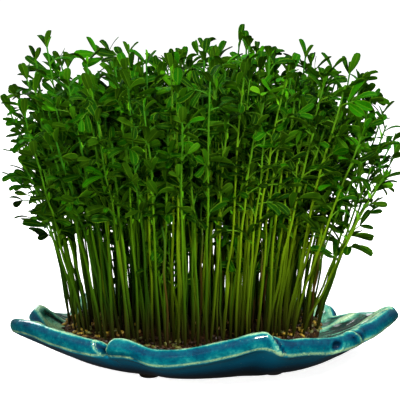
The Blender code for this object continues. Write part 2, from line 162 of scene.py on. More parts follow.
def glaze_material(lip, low):
    """Turquoise copper glaze on stoneware, fired glossy. It pools deep blue in the hollows, breaks pale on every
    ridge and edge, and runs thick and dark teal underneath, with painted shade taking it to nearly black towards
    the foot. lip and low are where the rim's top edge and the band's lower edge lie on the dish's own map."""
    made, tree, shader = new_material("copper_glaze_on_stoneware", Roughness=0.13, IOR=1.5)
    place = add_node(tree, "TexCoord").outputs["Object"]
    uv = add_node(tree, "UVMap", uv_map="OFBake")
    down = add_node(tree, "SeparateXYZ", {"Vector": uv}).outputs["Y"]
    ridge = add_node(tree, "Attribute", attribute_name="ridge").outputs["Fac"]
    wear_and_painted_light = add_node(tree, "Attribute", attribute_name="wear_and_painted_light").outputs["Fac"]

    # Clouds of glaze 12 mm across, a grain of 1.6 mm, and specks of 1.1 mm.
    clouds = add_node(tree, "TexNoise", {"Vector": place, "Scale": 85.0, "Detail": 4.0, "Roughness": 0.6})
    grain = add_node(tree, "TexNoise", {"Vector": place, "Scale": 620.0, "Detail": 3.0, "Roughness": 0.7})
    specks = add_node(tree, "TexNoise", {"Vector": place, "Scale": 900.0, "Detail": 2.0, "Roughness": 0.6})
    # On the band it is deep along the upper middle and thin towards both edges. 0.5 stands for the mean.
    thin = add_node(tree, "MapRange", {"Value": down, "From Min": low, "From Max": lip})
    thin = add_node(
        tree, "ValToRGB", {"Fac": thin},
        stops=[(0.0, "#CCCCCC"), (0.2, "#BCBCBC"), (0.45, "#949494"), (0.62, "#5E5E5E"), (0.8, "#7E7E7E"),
               (0.96, "#E0E0E0")],
    )  # fmt: skip
    for layer, share in ((clouds, 0.85), (grain, 0.55), (ridge, 0.35), (wear_and_painted_light, 0.4)):
        thin = add_node(tree, "Math", {0: layer, 1: share, 2: thin}, operation="MULTIPLY_ADD")
    thin = add_node(tree, "Math", {0: thin, 1: 0.68}, operation="SUBTRACT", use_clamp=True)
    colour = add_node(
        tree, "ValToRGB", {"Fac": thin},
        stops=[(0.0, "#001D30"), (0.2, "#00344C"), (0.4, "#00495A"), (0.6, "#04656B"), (0.8, "#329086"),
               (1.0, "#A0CCA2")],
    )  # fmt: skip

    # Inside, the glaze is thin and milky, and crackled in cells about 4 mm across.
    # Low wear values darken this ramp: pooled glaze, and painted shade on the back-left inner wall.
    thin = -0.1
    for layer, share, clamp in ((clouds, 1.2, False), (ridge, 0.5, False), (wear_and_painted_light, 0.45, True)):
        thin = add_node(tree, "Math", {0: layer, 1: share, 2: thin}, operation="MULTIPLY_ADD", use_clamp=clamp)
    inner = add_node(
        tree, "ValToRGB", {"Fac": thin},
        stops=[(0.0, "#0A2A24"), (0.22, "#20604E"), (0.45, "#66AC8C"), (0.68, "#9CCCA0"), (0.95, "#CCDCB2")],
    )  # fmt: skip
    crackle = add_node(tree, "TexVoronoi", {"Vector": place, "Scale": 260.0}, feature="DISTANCE_TO_EDGE")
    crack = add_node(tree, "MapRange", {"Value": crackle, "From Max": 0.06, "To Min": 0.7, "To Max": 0.0})
    inner = add_node(tree, "MixRGB", {"Fac": crack, "Color1": inner, "Color2": "#3A2A12"})
    within = add_node(tree, "MapRange", {"Value": down, "From Min": lip + 0.004, "From Max": lip + 0.022})
    colour = add_node(tree, "MixRGB", {"Fac": within, "Color1": colour, "Color2": inner})

    # Underneath it is thick and dark teal; towards the foot the ramp runs on to nearly black as painted shade.
    deep = add_node(tree, "MapRange", {"Value": down, "From Min": low, "From Max": low - 0.16})
    deep = add_node(
        tree, "ValToRGB", {"Fac": deep},
        stops=[(0.0, "#1286A0"), (0.16, "#08708C"), (0.40, "#04506A"), (0.66, "#02283A"), (0.9, "#010B12")],
    )  # fmt: skip
    under = add_node(tree, "MapRange", {"Value": down, "From Min": low + 0.006, "From Max": low - 0.002})
    colour = add_node(tree, "MixRGB", {"Fac": under, "Color1": colour, "Color2": deep})

    # Cream lines, broken by brown specks, where the glaze has run off the rim's top edge and the band's lower edge.
    cream = add_node(tree, "ValToRGB", {"Fac": specks}, stops=[(0.3, "#5A4A22"), (0.42, "#78A076"), (0.7, "#A4C892")])
    for edge, width, cover, strength in ((lip, 0.0030, 0.42, 0.7), (low + 0.007, 0.0050, 0.31, 0.9)):
        away = add_node(tree, "Math", {0: down, 1: edge}, operation="SUBTRACT")
        away = add_node(tree, "Math", {0: away}, operation="ABSOLUTE")
        line = add_node(
            tree, "MapRange",
            {"Value": away, "From Min": 0.3 * width, "From Max": width, "To Min": strength, "To Max": 0.0},
        )  # fmt: skip
        breaks = add_node(tree, "MapRange", {"Value": clouds, "From Min": cover, "From Max": cover + 0.2})
        line = add_node(tree, "Math", {0: line, 1: breaks}, operation="MULTIPLY")
        colour = add_node(tree, "MixRGB", {"Fac": line, "Color1": colour, "Color2": cream})
    # Where a fold is sharp the clay shows through the glaze in streaks. The same cream also paints the highlights on
    # the peak's crease and the right-hand fold.
    bare = add_node(tree, "Math", {0: specks, 1: 1.6, 2: -0.75}, operation="MULTIPLY_ADD")
    bare = add_node(tree, "Math", {0: wear_and_painted_light, 1: bare}, operation="ADD")
    bare = add_node(tree, "MapRange", {"Value": bare, "From Min": 0.35, "From Max": 0.8})
    bare = add_node(tree, "Math", {0: bare, 1: 0.85}, operation="MULTIPLY")
    colour = add_node(tree, "MixRGB", {"Fac": bare, "Color1": colour, "Color2": cream})
    tree.links.new(colour.outputs[0], shader.inputs["Base Color"])

    # The glaze is glassy, with faint waves 5 mm across.
    waves = add_node(tree, "TexNoise", {"Vector": place, "Scale": 200.0, "Detail": 2.0})
    bump = add_node(tree, "Bump", {"Height": waves, "Strength": 0.5, "Distance": 0.4 * MM})
    tree.links.new(bump.outputs[0], shader.inputs["Normal"])
    return made


def stoneware_material():
    """Unglazed stoneware: iron-bearing clay fired to a dull, gritty brown-black, on the feet."""
    made, tree, shader = new_material("bare_stoneware", Roughness=0.85)
    place = add_node(tree, "TexCoord").outputs["Object"]
    grit = add_node(tree, "TexNoise", {"Vector": place, "Scale": 1100.0, "Detail": 3.0})
    colour = add_node(tree, "ValToRGB", {"Fac": grit}, stops=[(0.3, "#0B0A08"), (0.55, "#1E1812"), (0.75, "#3A2C20")])
    tree.links.new(colour.outputs[0], shader.inputs["Base Color"])
    bump = add_node(tree, "Bump", {"Height": grit, "Strength": 0.4, "Distance": 0.2 * MM})
    tree.links.new(bump.outputs[0], shader.inputs["Normal"])
    return made


# Leaf tints from nearly black green to young yellow-green. The darkest partly stand in as painted shade for low leaves.
LEAF_TINTS = [
    "#042200", "#062B00", "#083300", "#0B3C00", "#0F4600", "#145000",
    "#1A5B00", "#226800", "#307800", "#438A06", "#5C9F10", "#82BA2A",
]  # fmt: skip
# The first three stem tints are one green from lit to shaded, painted light picked by where each stem stands.
STEM_TINTS = ["#6F920A", "#4C7C08", "#2F5A06", "#4E3812"]
HUSK_TINTS = ["#A08420", "#6C4E12", "#54541A", "#2C190A"]


def leaf_material():
    """Lentil leaf blade, a thin soft leaf with a faint wax sheen: matt deep green above, paler and greyer below, with
    a pale midrib, side veins a little over 1 mm apart, and a thin yellow-green edge. Its map holds twelve cells, one
    for each tint, with the upper face on each cell's left half and the lower face on its right half."""
    made, tree, shader = new_material("lentil_leaf_blade", Roughness=0.7, IOR=1.45, Specular_IOR_Level=0.03)
    uv = add_node(tree, "UVMap", uv_map="OFBake")
    cells = add_node(tree, "VectorMath", {0: uv, 1: (4, 4, 0)}, operation="MULTIPLY")
    counts = add_node(tree, "SeparateXYZ", {0: add_node(tree, "VectorMath", {0: cells}, operation="FLOOR")})
    inside = add_node(tree, "SeparateXYZ", {0: add_node(tree, "VectorMath", {0: cells}, operation="FRACTION")})
    across, out = inside.outputs["X"], inside.outputs["Y"]
    number = add_node(
        tree, "Math", {0: counts.outputs["X"], 1: 4.0, 2: counts.outputs["Y"]}, operation="MULTIPLY_ADD"
    )
    tints = len(LEAF_TINTS)
    number = add_node(tree, "Math", {0: number, 1: 1 / tints, 2: 0.5 / tints}, operation="MULTIPLY_ADD")
    stops = [(n / tints, tint) for n, tint in enumerate(LEAF_TINTS)]
    colour = add_node(tree, "ValToRGB", {"Fac": number}, stops=stops)
    colour.color_ramp.interpolation = "CONSTANT"

    # The mottling of a living leaf, about 1 mm across.
    mottle = add_node(tree, "TexNoise", {"Vector": uv, "Scale": 60.0, "Detail": 3.0})
    mottle = add_node(
        tree, "MapRange", {"Value": mottle, "From Min": 0.3, "From Max": 0.7, "To Min": 0.7, "To Max": 1.3}
    )
    colour = add_node(tree, "MixRGB", {"Fac": 1.0, "Color1": colour, "Color2": mottle}, blend_type="MULTIPLY")
    below = add_node(tree, "Math", {0: across, 1: 0.5}, operation="GREATER_THAN")
    below = add_node(tree, "Math", {0: below, 1: 0.35}, operation="MULTIPLY")
    colour = add_node(tree, "MixRGB", {"Fac": below, "Color1": colour, "Color2": "#42700C"})

    # How far out from the midrib, from 0 to 1 at the leaf's edge.
    side = add_node(tree, "Math", {0: across, 1: 4.0, 2: 1.0}, operation="MULTIPLY_ADD")
    side = add_node(tree, "Math", {0: side, 1: 1.0}, operation="PINGPONG")
    side = add_node(tree, "Math", {0: 1.0, 1: side}, operation="SUBTRACT")
    veins = add_node(tree, "Math", {0: side, 1: -0.22, 2: out}, operation="MULTIPLY_ADD")
    veins = add_node(tree, "Math", {0: veins, 1: 11.0}, operation="MULTIPLY")
    veins = add_node(tree, "Math", {0: veins}, operation="FRACT")
    veins = add_node(tree, "MapRange", {"Value": veins, "From Max": 0.16, "To Min": 0.18, "To Max": 0.0})
    midrib = add_node(
        tree, "MapRange", {"Value": side, "From Min": 0.04, "From Max": 0.14, "To Min": 0.55, "To Max": 0.0}
    )
    edge = add_node(tree, "MapRange", {"Value": side, "From Min": 0.86, "To Max": 0.3})
    ribs = add_node(tree, "Math", {0: midrib, 1: veins}, operation="MAXIMUM")
    pale = add_node(tree, "Math", {0: ribs, 1: edge}, operation="MAXIMUM")
    colour = add_node(tree, "MixRGB", {"Fac": pale, "Color1": colour, "Color2": "#6E9A1A"})
    tree.links.new(colour.outputs[0], shader.inputs["Base Color"])
    bump = add_node(tree, "Bump", {"Height": ribs, "Strength": 0.5, "Distance": 0.3 * MM}, invert=True)
    tree.links.new(bump.outputs[0], shader.inputs["Normal"])
    return made


def stem_material():
    """Lentil stem, a juicy ribbed stalk: brown and dry where it leaves the roots, yellow-green above, and green at the
    top. Its map holds four tall cells, one for each tint: the first three are one green painted lighter or darker
    as painted light and shade, and the last tint is a stem that has dried up."""
    made, tree, shader = new_material("lentil_stem", Roughness=0.5, IOR=1.45, Specular_IOR_Level=0.12)
    uv = add_node(tree, "UVMap", uv_map="OFBake")
    parts = add_node(tree, "SeparateXYZ", {"Vector": uv})
    up = parts.outputs["Y"]
    cell = add_node(tree, "Math", {0: parts.outputs["X"], 1: 32.0, 2: -24.0}, operation="MULTIPLY_ADD")
    quarter = add_node(tree, "Math", {0: cell, 1: 0.25}, operation="MULTIPLY")
    colour = add_node(tree, "ValToRGB", {"Fac": quarter}, stops=[(n / 4, tint) for n, tint in enumerate(STEM_TINTS)])
    colour.color_ramp.interpolation = "CONSTANT"
    green = add_node(tree, "MapRange", {"Value": up, "From Min": 0.45, "From Max": 0.95, "To Max": 0.75})
    colour = add_node(tree, "MixRGB", {"Fac": green, "Color1": colour, "Color2": "#2E7416"})
    patches = add_node(tree, "TexNoise", {"Vector": uv, "Scale": 24.0, "Detail": 3.0})
    foot = add_node(tree, "Math", {0: patches, 1: -0.12, 2: up}, operation="MULTIPLY_ADD")
    foot = add_node(
        tree, "MapRange", {"Value": foot, "From Min": -0.05, "From Max": 0.12, "To Min": 0.9, "To Max": 0.0}
    )
    colour = add_node(tree, "MixRGB", {"Fac": foot, "Color1": colour, "Color2": "#5B3A17"})
    # Soil dust and the shade of the others darken the lower third.
    dusk = add_node(
        tree, "ValToRGB", {"Fac": up}, stops=[(0.0, "#4C4C4C"), (0.1, "#707070"), (0.3, "#B4B4B4"), (0.5, "#F0F0F0")]
    )
    colour = add_node(tree, "MixRGB", {"Fac": 1.0, "Color1": colour, "Color2": dusk}, blend_type="MULTIPLY")
    ribs = add_node(tree, "Math", {0: cell, 1: 5.0}, operation="MULTIPLY")
    ribs = add_node(tree, "Math", {0: ribs, 1: 0.5}, operation="PINGPONG")
    shade = add_node(tree, "Math", {0: patches, 1: 0.5, 2: 0.6}, operation="MULTIPLY_ADD")
    shade = add_node(tree, "Math", {0: ribs, 1: 0.5, 2: shade}, operation="MULTIPLY_ADD")
    colour = add_node(tree, "MixRGB", {"Fac": 1.0, "Color1": colour, "Color2": shade}, blend_type="MULTIPLY")
    tree.links.new(colour.outputs[0], shader.inputs["Base Color"])
    bump = add_node(tree, "Bump", {"Height": ribs, "Strength": 0.5, "Distance": 0.2 * MM})
    tree.links.new(bump.outputs[0], shader.inputs["Normal"])
    return made


def husk_material():
    """Lentil seed coat: a thin, papery skin, from straw yellow to olive brown, with fine dark marbling."""
    made, tree, shader = new_material("lentil_seed_coat", Roughness=0.55)
    uv = add_node(tree, "UVMap", uv_map="OFBake")
    up = add_node(tree, "SeparateXYZ", {"Vector": uv}).outputs["Y"]
    colour = add_node(tree, "ValToRGB", {"Fac": up}, stops=[(n / 4, tint) for n, tint in enumerate(HUSK_TINTS)])
    colour.color_ramp.interpolation = "CONSTANT"
    marbling = add_node(tree, "TexNoise", {"Vector": uv, "Scale": 120.0, "Detail": 4.0, "Distortion": 0.6})
    marbling = add_node(
        tree, "MapRange", {"Value": marbling, "From Min": 0.35, "From Max": 0.6, "To Min": 0.45, "To Max": 1.1}
    )
    colour = add_node(tree, "MixRGB", {"Fac": 1.0, "Color1": colour, "Color2": marbling}, blend_type="MULTIPLY")
    tree.links.new(colour.outputs[0], shader.inputs["Base Color"])
    return made


def root_material():
    """Felted lentil roots: a dark, damp brown felt with pale threads, 0.3 mm thick, that lie in every direction."""
    made, tree, shader = new_material("felted_root_hair", Roughness=0.9, Specular_IOR_Level=0.15)
    place = add_node(tree, "TexCoord").outputs["Object"]
    damp = add_node(tree, "TexNoise", {"Vector": place, "Scale": 130.0, "Detail": 5.0})
    colour = add_node(tree, "ValToRGB", {"Fac": damp}, stops=[(0.3, "#070301"), (0.5, "#1C0D03"), (0.7, "#402408")])
    threads = add_node(tree, "TexVoronoi", {"Vector": place, "Scale": 420.0}, feature="DISTANCE_TO_EDGE")
    pale = add_node(
        tree, "MapRange", {"Value": threads, "From Min": 0.02, "From Max": 0.12, "To Min": 0.35, "To Max": 0.0}
    )
    colour = add_node(tree, "MixRGB", {"Fac": pale, "Color1": colour, "Color2": "#5A4016"})
    tree.links.new(colour.outputs[0], shader.inputs["Base Color"])
    bump = add_node(tree, "Bump", {"Height": threads, "Strength": 0.8, "Distance": 0.6 * MM}, invert=True)
    tree.links.new(bump.outputs[0], shader.inputs["Normal"])
    return made


def thread_material():
    """A lentil's root: a pale thread that browns as it dries."""
    made, tree, shader = new_material("dry_root_thread", Roughness=0.8)
    uv = add_node(tree, "UVMap", uv_map="OFBake")
    patches = add_node(tree, "TexNoise", {"Vector": uv, "Scale": 6.0, "Detail": 3.0})
    stops = [(0.35, "#1E0E06"), (0.5, "#43260F"), (0.68, "#82683A")]
    colour = add_node(tree, "ValToRGB", {"Fac": patches}, stops=stops)
    tree.links.new(colour.outputs[0], shader.inputs["Base Color"])
    return made


# ---- modelling ----


def drawn_out(name, sides, stations):
    """A disc pulled up through rings, each (half width, half depth, height), and closed at both ends."""
    bpy.ops.object.select_all(action="DESELECT")
    (wide, deep, high), *rest = stations
    bpy.ops.mesh.primitive_circle_add(vertices=sides, radius=1, fill_type="NGON", location=(0, 0, 0))
    piece = bpy.context.object
    piece.name = piece.data.name = name
    bpy.ops.object.mode_set(mode="EDIT")
    bpy.ops.mesh.select_all(action="SELECT")
    bpy.ops.transform.resize(value=(wide, deep, 1), center_override=(0, 0, 0))
    bpy.ops.transform.translate(value=(0, 0, high))
    for new_wide, new_deep, new_high in rest:
        bpy.ops.mesh.extrude_region_move(TRANSFORM_OT_translate={"value": (0, 0, new_high - high)})
        bpy.ops.transform.resize(value=(new_wide / wide, new_deep / deep, 1), center_override=(0, 0, new_high))
        wide, deep, high = new_wide, new_deep, new_high
    bpy.ops.object.mode_set(mode="OBJECT")
    return piece


def pick(piece):
    """Selects this piece alone."""
    bpy.ops.object.select_all(action="DESELECT")
    piece.select_set(True)
    bpy.context.view_layer.objects.active = piece


def finish_with(piece, kind, **settings):
    """Adds a modifier and applies it."""
    pick(piece)
    modifier = piece.modifiers.new(kind.title(), kind)
    for name, value in settings.items():
        setattr(modifier, name, value)
    bpy.ops.object.modifier_apply(modifier=modifier.name)


def smooth(piece, degrees):
    """Shades the piece smooth, but for edges sharper than this."""
    pick(piece)
    bpy.ops.object.shade_smooth_by_angle(angle=math.radians(degrees))


def hand_over(piece, slot, *nodes):
    """The piece rides on the one body and stands for these CAD nodes. The slot argument is not used."""
    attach(piece, "root")
    if nodes:
        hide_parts(*nodes)


# ---- the dish ----


def rim_top(degrees):
    """The rim's height, on a smooth curve through RIM_TOP that closes on itself."""
    angles = [a for a, _ in RIM_TOP]
    heights = [h * MM for _, h in RIM_TOP]
    count = len(RIM_TOP)
    after = bisect.bisect_right(angles, degrees % 360) % count
    before = (after - 1) % count
    span = (angles[after] - angles[before]) % 360
    t = ((degrees - angles[before]) % 360) / span
    h0, h1 = heights[before], heights[after]
    slope0 = (h1 - heights[before - 1]) / ((angles[after] - angles[before - 1]) % 360)
    beyond = (after + 1) % count
    slope1 = (heights[beyond] - h0) / ((angles[beyond] - angles[before]) % 360)
    ease = t * t * (3 - 2 * t)
    return (
        h0 + (h1 - h0) * ease
        + span * slope0 * t * (1 - t) ** 2
        - span * slope1 * t * t * (1 - t)
    )  # fmt: skip


def apart(first, second):
    """Degrees from one angle to another, the short way round."""
    return abs((first - second + 180) % 360 - 180)


def pinch(degrees, up=1.0):
    """How far the band is pinched in, and how far its top drops. A pleat is a V, widest at the top (up = 1)."""
    inward = drop = 0.0
    for angle, pinched, dropped, half_width in PLEATS:
        share = max(0.0, 1 - apart(degrees, angle) / (half_width * (0.25 + 0.75 * up)))
        inward += pinched * share
        drop += dropped * share
    return inward, drop


def rim_point(degrees):
    """Where the rim's outside stands at an angle, at no height: an oval, bulging between the pleats."""
    angle = math.radians(degrees)
    depth = RIM_FRONT if math.sin(angle) < 0 else RIM_BACK
    drawn_in = math.copysign(abs(math.sin(angle)) ** RIM_POINT, math.sin(angle))
    point = Vector((RIM_MIDDLE_X + RIM_HALF_LENGTH * math.cos(angle), depth * drawn_in, 0))
    nearest = min(apart(degrees, pleat[0]) for pleat in PLEATS)
    swell = RIM_SWELL * math.sin(min(nearest / 25, 1) * math.pi / 2)
    for middle, tuck, spread in BACK_TUCKS:
        swell -= tuck * math.exp(-((apart(degrees, middle) / spread) ** 2))
    return point + swell * (point - DISH_CENTRE).normalized()


# The rows of the inside near its floor, from the middle out, and those of the underside, from the foot out. Each is a
# share of the way out to the rim, and of the way up.
INSIDE_ROWS = [(0.30, 0), (0.50, 0.03), (0.66, 0.18), (0.80, 0.46)]
UNDERSIDE_ROWS = [(0.15, 0), (0.45, 0), (0.56, 0.05), (0.66, 0.14), (0.735, 0.27), (0.80, 0.43), (0.865, 0.63)]
# The rows just under the band: mm in from the rim, the share of a pleat's pinch that reaches them, and mm down.
UNDER_BAND_ROWS = [(8, 0.2, 3.6), (4.6, 0.3, 1.9), (2.3, 0.35, 0.6)]


def inside_profile(degrees):
    """The inner surface at one angle, as (distance from the dish's centre, height), from the middle out."""
    reach = (rim_point(degrees) - DISH_CENTRE).length
    inward, drop = pinch(degrees)
    top = rim_top(degrees) - drop
    rise = top - FLOOR_Z
    return [(out * reach, FLOOR_Z + up * rise) for out, up in INSIDE_ROWS] + [
        (reach - 12 * MM - 0.3 * inward, FLOOR_Z + 0.80 * rise),
        (reach - 6.5 * MM - 0.7 * inward, top - 0.8 * MM),
    ]


def halfway(first, second):
    """The place midway between two places on a profile."""
    return tuple(a + (b - a) * 0.5 for a, b in zip(first, second))


# The rows of the band, from its lower edge (0) to the lip (1), and how far each stands out, in mm.
BAND_UP = (0.0, 0.06, 0.25, 0.5, 0.72, 0.87, 0.96)
BAND_OUT = (-1.2, -0.8, 0.0, 0.4, 0.1, -0.8, -1.9)
LOW_ROW, LIP_ROW = 10, 17  # the band's lower edge and the rim's top edge, counted in dish_profile


def dish_profile(degrees):
    """All of the dish at one angle, as (distance from its centre, height): underside, band, lip, then inside."""
    reach = (rim_point(degrees) - DISH_CENTRE).length
    top = rim_top(degrees)
    leftness = max(0.0, 1 - apart(degrees, 180) / 40)
    height = BAND_HEIGHT + (LEFT_BAND_HEIGHT - BAND_HEIGHT) * leftness
    height -= RIGHT_TIP_THINNER * math.exp(-((apart(degrees, 359) / 10) ** 2))
    lower = top - height
    rise = lower - UNDERSIDE_Z
    inward, drop = pinch(degrees)
    under = [(out * reach, UNDERSIDE_Z + up * rise) for out, up in UNDERSIDE_ROWS]
    under += [(reach - out * MM - share * inward, lower - down * MM) for out, share, down in UNDER_BAND_ROWS]
    band = []
    for up, out in zip(BAND_UP, BAND_OUT):
        inward_here, drop_here = pinch(degrees, up)
        inward_here = 0.4 * inward + 0.6 * inward_here if up < 0.3 else inward_here
        band.append((reach + out * MM - inward_here, lower + up * height - up * drop_here))
    lip = [
        (reach - 3.3 * MM - inward, top - drop),
        (reach - 4.9 * MM - 0.85 * inward, top - drop - 0.25 * MM),
    ]
    inner = inside_profile(degrees)[::-1]
    inside = [
        inner[0], halfway(inner[0], inner[1]), inner[1], halfway(inner[1], inner[2]), inner[2],
        halfway(inner[2], inner[3]), inner[3], inner[4], inner[5], (0.12 * reach, FLOOR_Z),
    ]  # fmt: skip
    return under + band + lip + inside


def column_angles():
    """The angle of each column of corners, closer together at the pleats."""
    fine = np.arange(0, 360, 0.1)
    density = np.ones(len(fine))
    for angle, _, _, half_width in PLEATS:
        off = np.abs((fine - angle + 180) % 360 - 180)
        density += 2.5 * np.exp(-((off / (1.4 * half_width)) ** 2))
    passed = np.concatenate([[0], np.cumsum(density)])
    return np.interp(np.arange(DISH_COLUMNS) / DISH_COLUMNS, passed / passed[-1], np.append(fine, 360))


def smoothed(places, edges, passes):
    """Corner places after some passes of smoothing along the edges."""
    ends = np.concatenate([edges[:, 0], edges[:, 1]])
    others = np.concatenate([edges[:, 1], edges[:, 0]])
    counts = np.bincount(ends, minlength=len(places))
    for _ in range(passes):
        sums = [np.bincount(ends, places[others, axis], len(places)) for axis in range(3)]
        places = 0.5 * places + 0.5 * np.stack(sums, 1) / counts[:, None]
    return places


def arrays_of(mesh):
    """The corner places, their normals, and the edges of a mesh."""
    places, normals = np.empty(len(mesh.vertices) * 3), np.empty(len(mesh.vertices) * 3)
    mesh.vertices.foreach_get("co", places)
    mesh.vertices.foreach_get("normal", normals)
    edges = np.empty(len(mesh.edges) * 2, int)
    mesh.edges.foreach_get("vertices", edges)
    return places.reshape(-1, 3), normals.reshape(-1, 3), edges.reshape(-1, 2)


def read_layer(mesh, name):
    """A number stored on each corner of the mesh."""
    values = np.empty(len(mesh.vertices), np.float32)
    mesh.attributes[name].data.foreach_get("value", values)
    return values.astype(float)


def write_layer(mesh, name, values):
    """Stores a number on each corner of the mesh."""
    layer = mesh.attributes.get(name) or mesh.attributes.new(name, "FLOAT", "POINT")
    layer.data.foreach_set("value", np.asarray(values, np.float32))


def bell(value, spread):
    """A soft hump: 1 where the value is 0, and next to nothing two spreads away."""
    return np.exp(-((value / spread) ** 2))


# Where the potter's fingers worked the rim, in degrees.
FRONT_PLEAT = 240.3
FRONT_HUMP = 246
PEAK_CREASE = 289.4
DIMPLE = 309.8
RIGHT_FOLD = 317.0
DIMPLE_RADIUS = 2.9  # mm
MM_PER_DEGREE = 1.74  # round the rim at the dimple


def fingerwork(degrees, row, places):
    """What the potter's fingers left on the dish: a height in mm above the smooth clay, and how far the glaze has
    run off there (above 0) or pooled (below 0), with a few painted highlights and some painted shade added in."""
    up = np.interp(row, range(LOW_ROW - 1, LIP_ROW + 3), (-0.2, *BAND_UP, 1.0, 1.15, 1.6))
    on_band = np.clip((up + 0.1) / 0.15, 0, 1) * np.clip((1.25 - up) / 0.2, 0, 1)

    # A crease that runs down to the right from the front peak, with the clay swollen beside it.
    off = degrees - (PEAK_CREASE + 3.4 * (1 - up))
    work = on_band * (-0.8 * bell(off, 0.7) + 0.9 * bell(off + 1.9, 1.3))
    # The pale line along the crease is thin glaze on its edge and a painted highlight.
    wear_and_painted_light = on_band * 0.5 * bell(off + 1.0, 0.5)
    # A fingertip's dimple.
    away = np.hypot((degrees - DIMPLE) * MM_PER_DEGREE, (up - 0.5) * BAND_HEIGHT / MM) / DIMPLE_RADIUS
    work += -3.2 * bell(away, 0.95) + 0.3 * bell(away - 1.6, 0.4)
    wear_and_painted_light -= 1.2 * bell(away, 1.0)
    # A soft fold beside the right-hand pleat.
    off = degrees - (RIGHT_FOLD + 4.6 * (1 - up))
    work += on_band * np.clip((up - 0.1) / 0.35, 0, 1) * (1.0 * bell(off, 1.2) - 0.7 * bell(off - 2.4, 1.1))
    # The pale arc on this fold is thin glaze on its edge and a painted highlight.
    wear_and_painted_light += on_band * 0.9 * bell(off - 0.8, 0.5)
    # The hump to the right of the front pleat leans out over its lower edge.
    off = degrees - FRONT_HUMP
    work += on_band * 1.6 * bell(off, 5.0) * np.clip(off + 6.5, 0, 1) * np.clip((up - 0.15) / 0.4, 0, 1)
    # Both arms of the front pleat are sharp, and the band's lower edge is worn to the right of the peak.
    arm = 3.1 * (0.25 + 0.75 * up)
    off = degrees - FRONT_PLEAT
    wear_and_painted_light += on_band * (0.6 * bell(off + arm, 0.45) + 0.9 * bell(off - arm, 0.5))
    wear_and_painted_light -= on_band * 0.9 * bell(off, 1.2) * np.clip(up, 0, 1)
    stretch = np.clip((degrees - 284) / 4, 0, 1) * np.clip((348 - degrees) / 10, 0, 1)
    wear_and_painted_light += 0.55 * stretch * bell(up - 0.1, 0.13)
    # The ends of the two long lobes are thinly glazed.
    ends = bell(np.minimum(np.abs(degrees - 187), 40), 9) + bell((degrees + 182) % 360 - 180, 6)
    wear_and_painted_light += on_band * 0.45 * ends

    # Inside, drawn fingers have left ridges that run out to the lobes' ends. At the left end the glaze is thin, and
    # behind it, on the steep back-left wall, the colour is darkened by pooled glaze and by painted shade.
    inside = np.clip((row - LIP_ROW - 1.2) / 1.5, 0, 1) * np.clip((26 - row) / 3, 0, 1)
    turn = np.deg2rad(degrees)
    for index in np.flatnonzero(inside > 0.01):
        r = math.hypot(*places[index, :2]) / MM
        a = Vector((math.cos(turn[index]) * 9, math.sin(turn[index]) * 9, r / 42))
        ridges = noise.noise(a) * 1.7 + noise.noise(a * 2.3) * 0.8
        work[index] += inside[index] * ridges
        wear_and_painted_light[index] += inside[index] * (1.5 * ridges + 0.2)
    wear_and_painted_light += inside * (1.8 * bell(degrees - 180, 10) - 1.3 * bell(degrees - 158, 7))
    return work, np.clip(wear_and_painted_light, -1, 1)


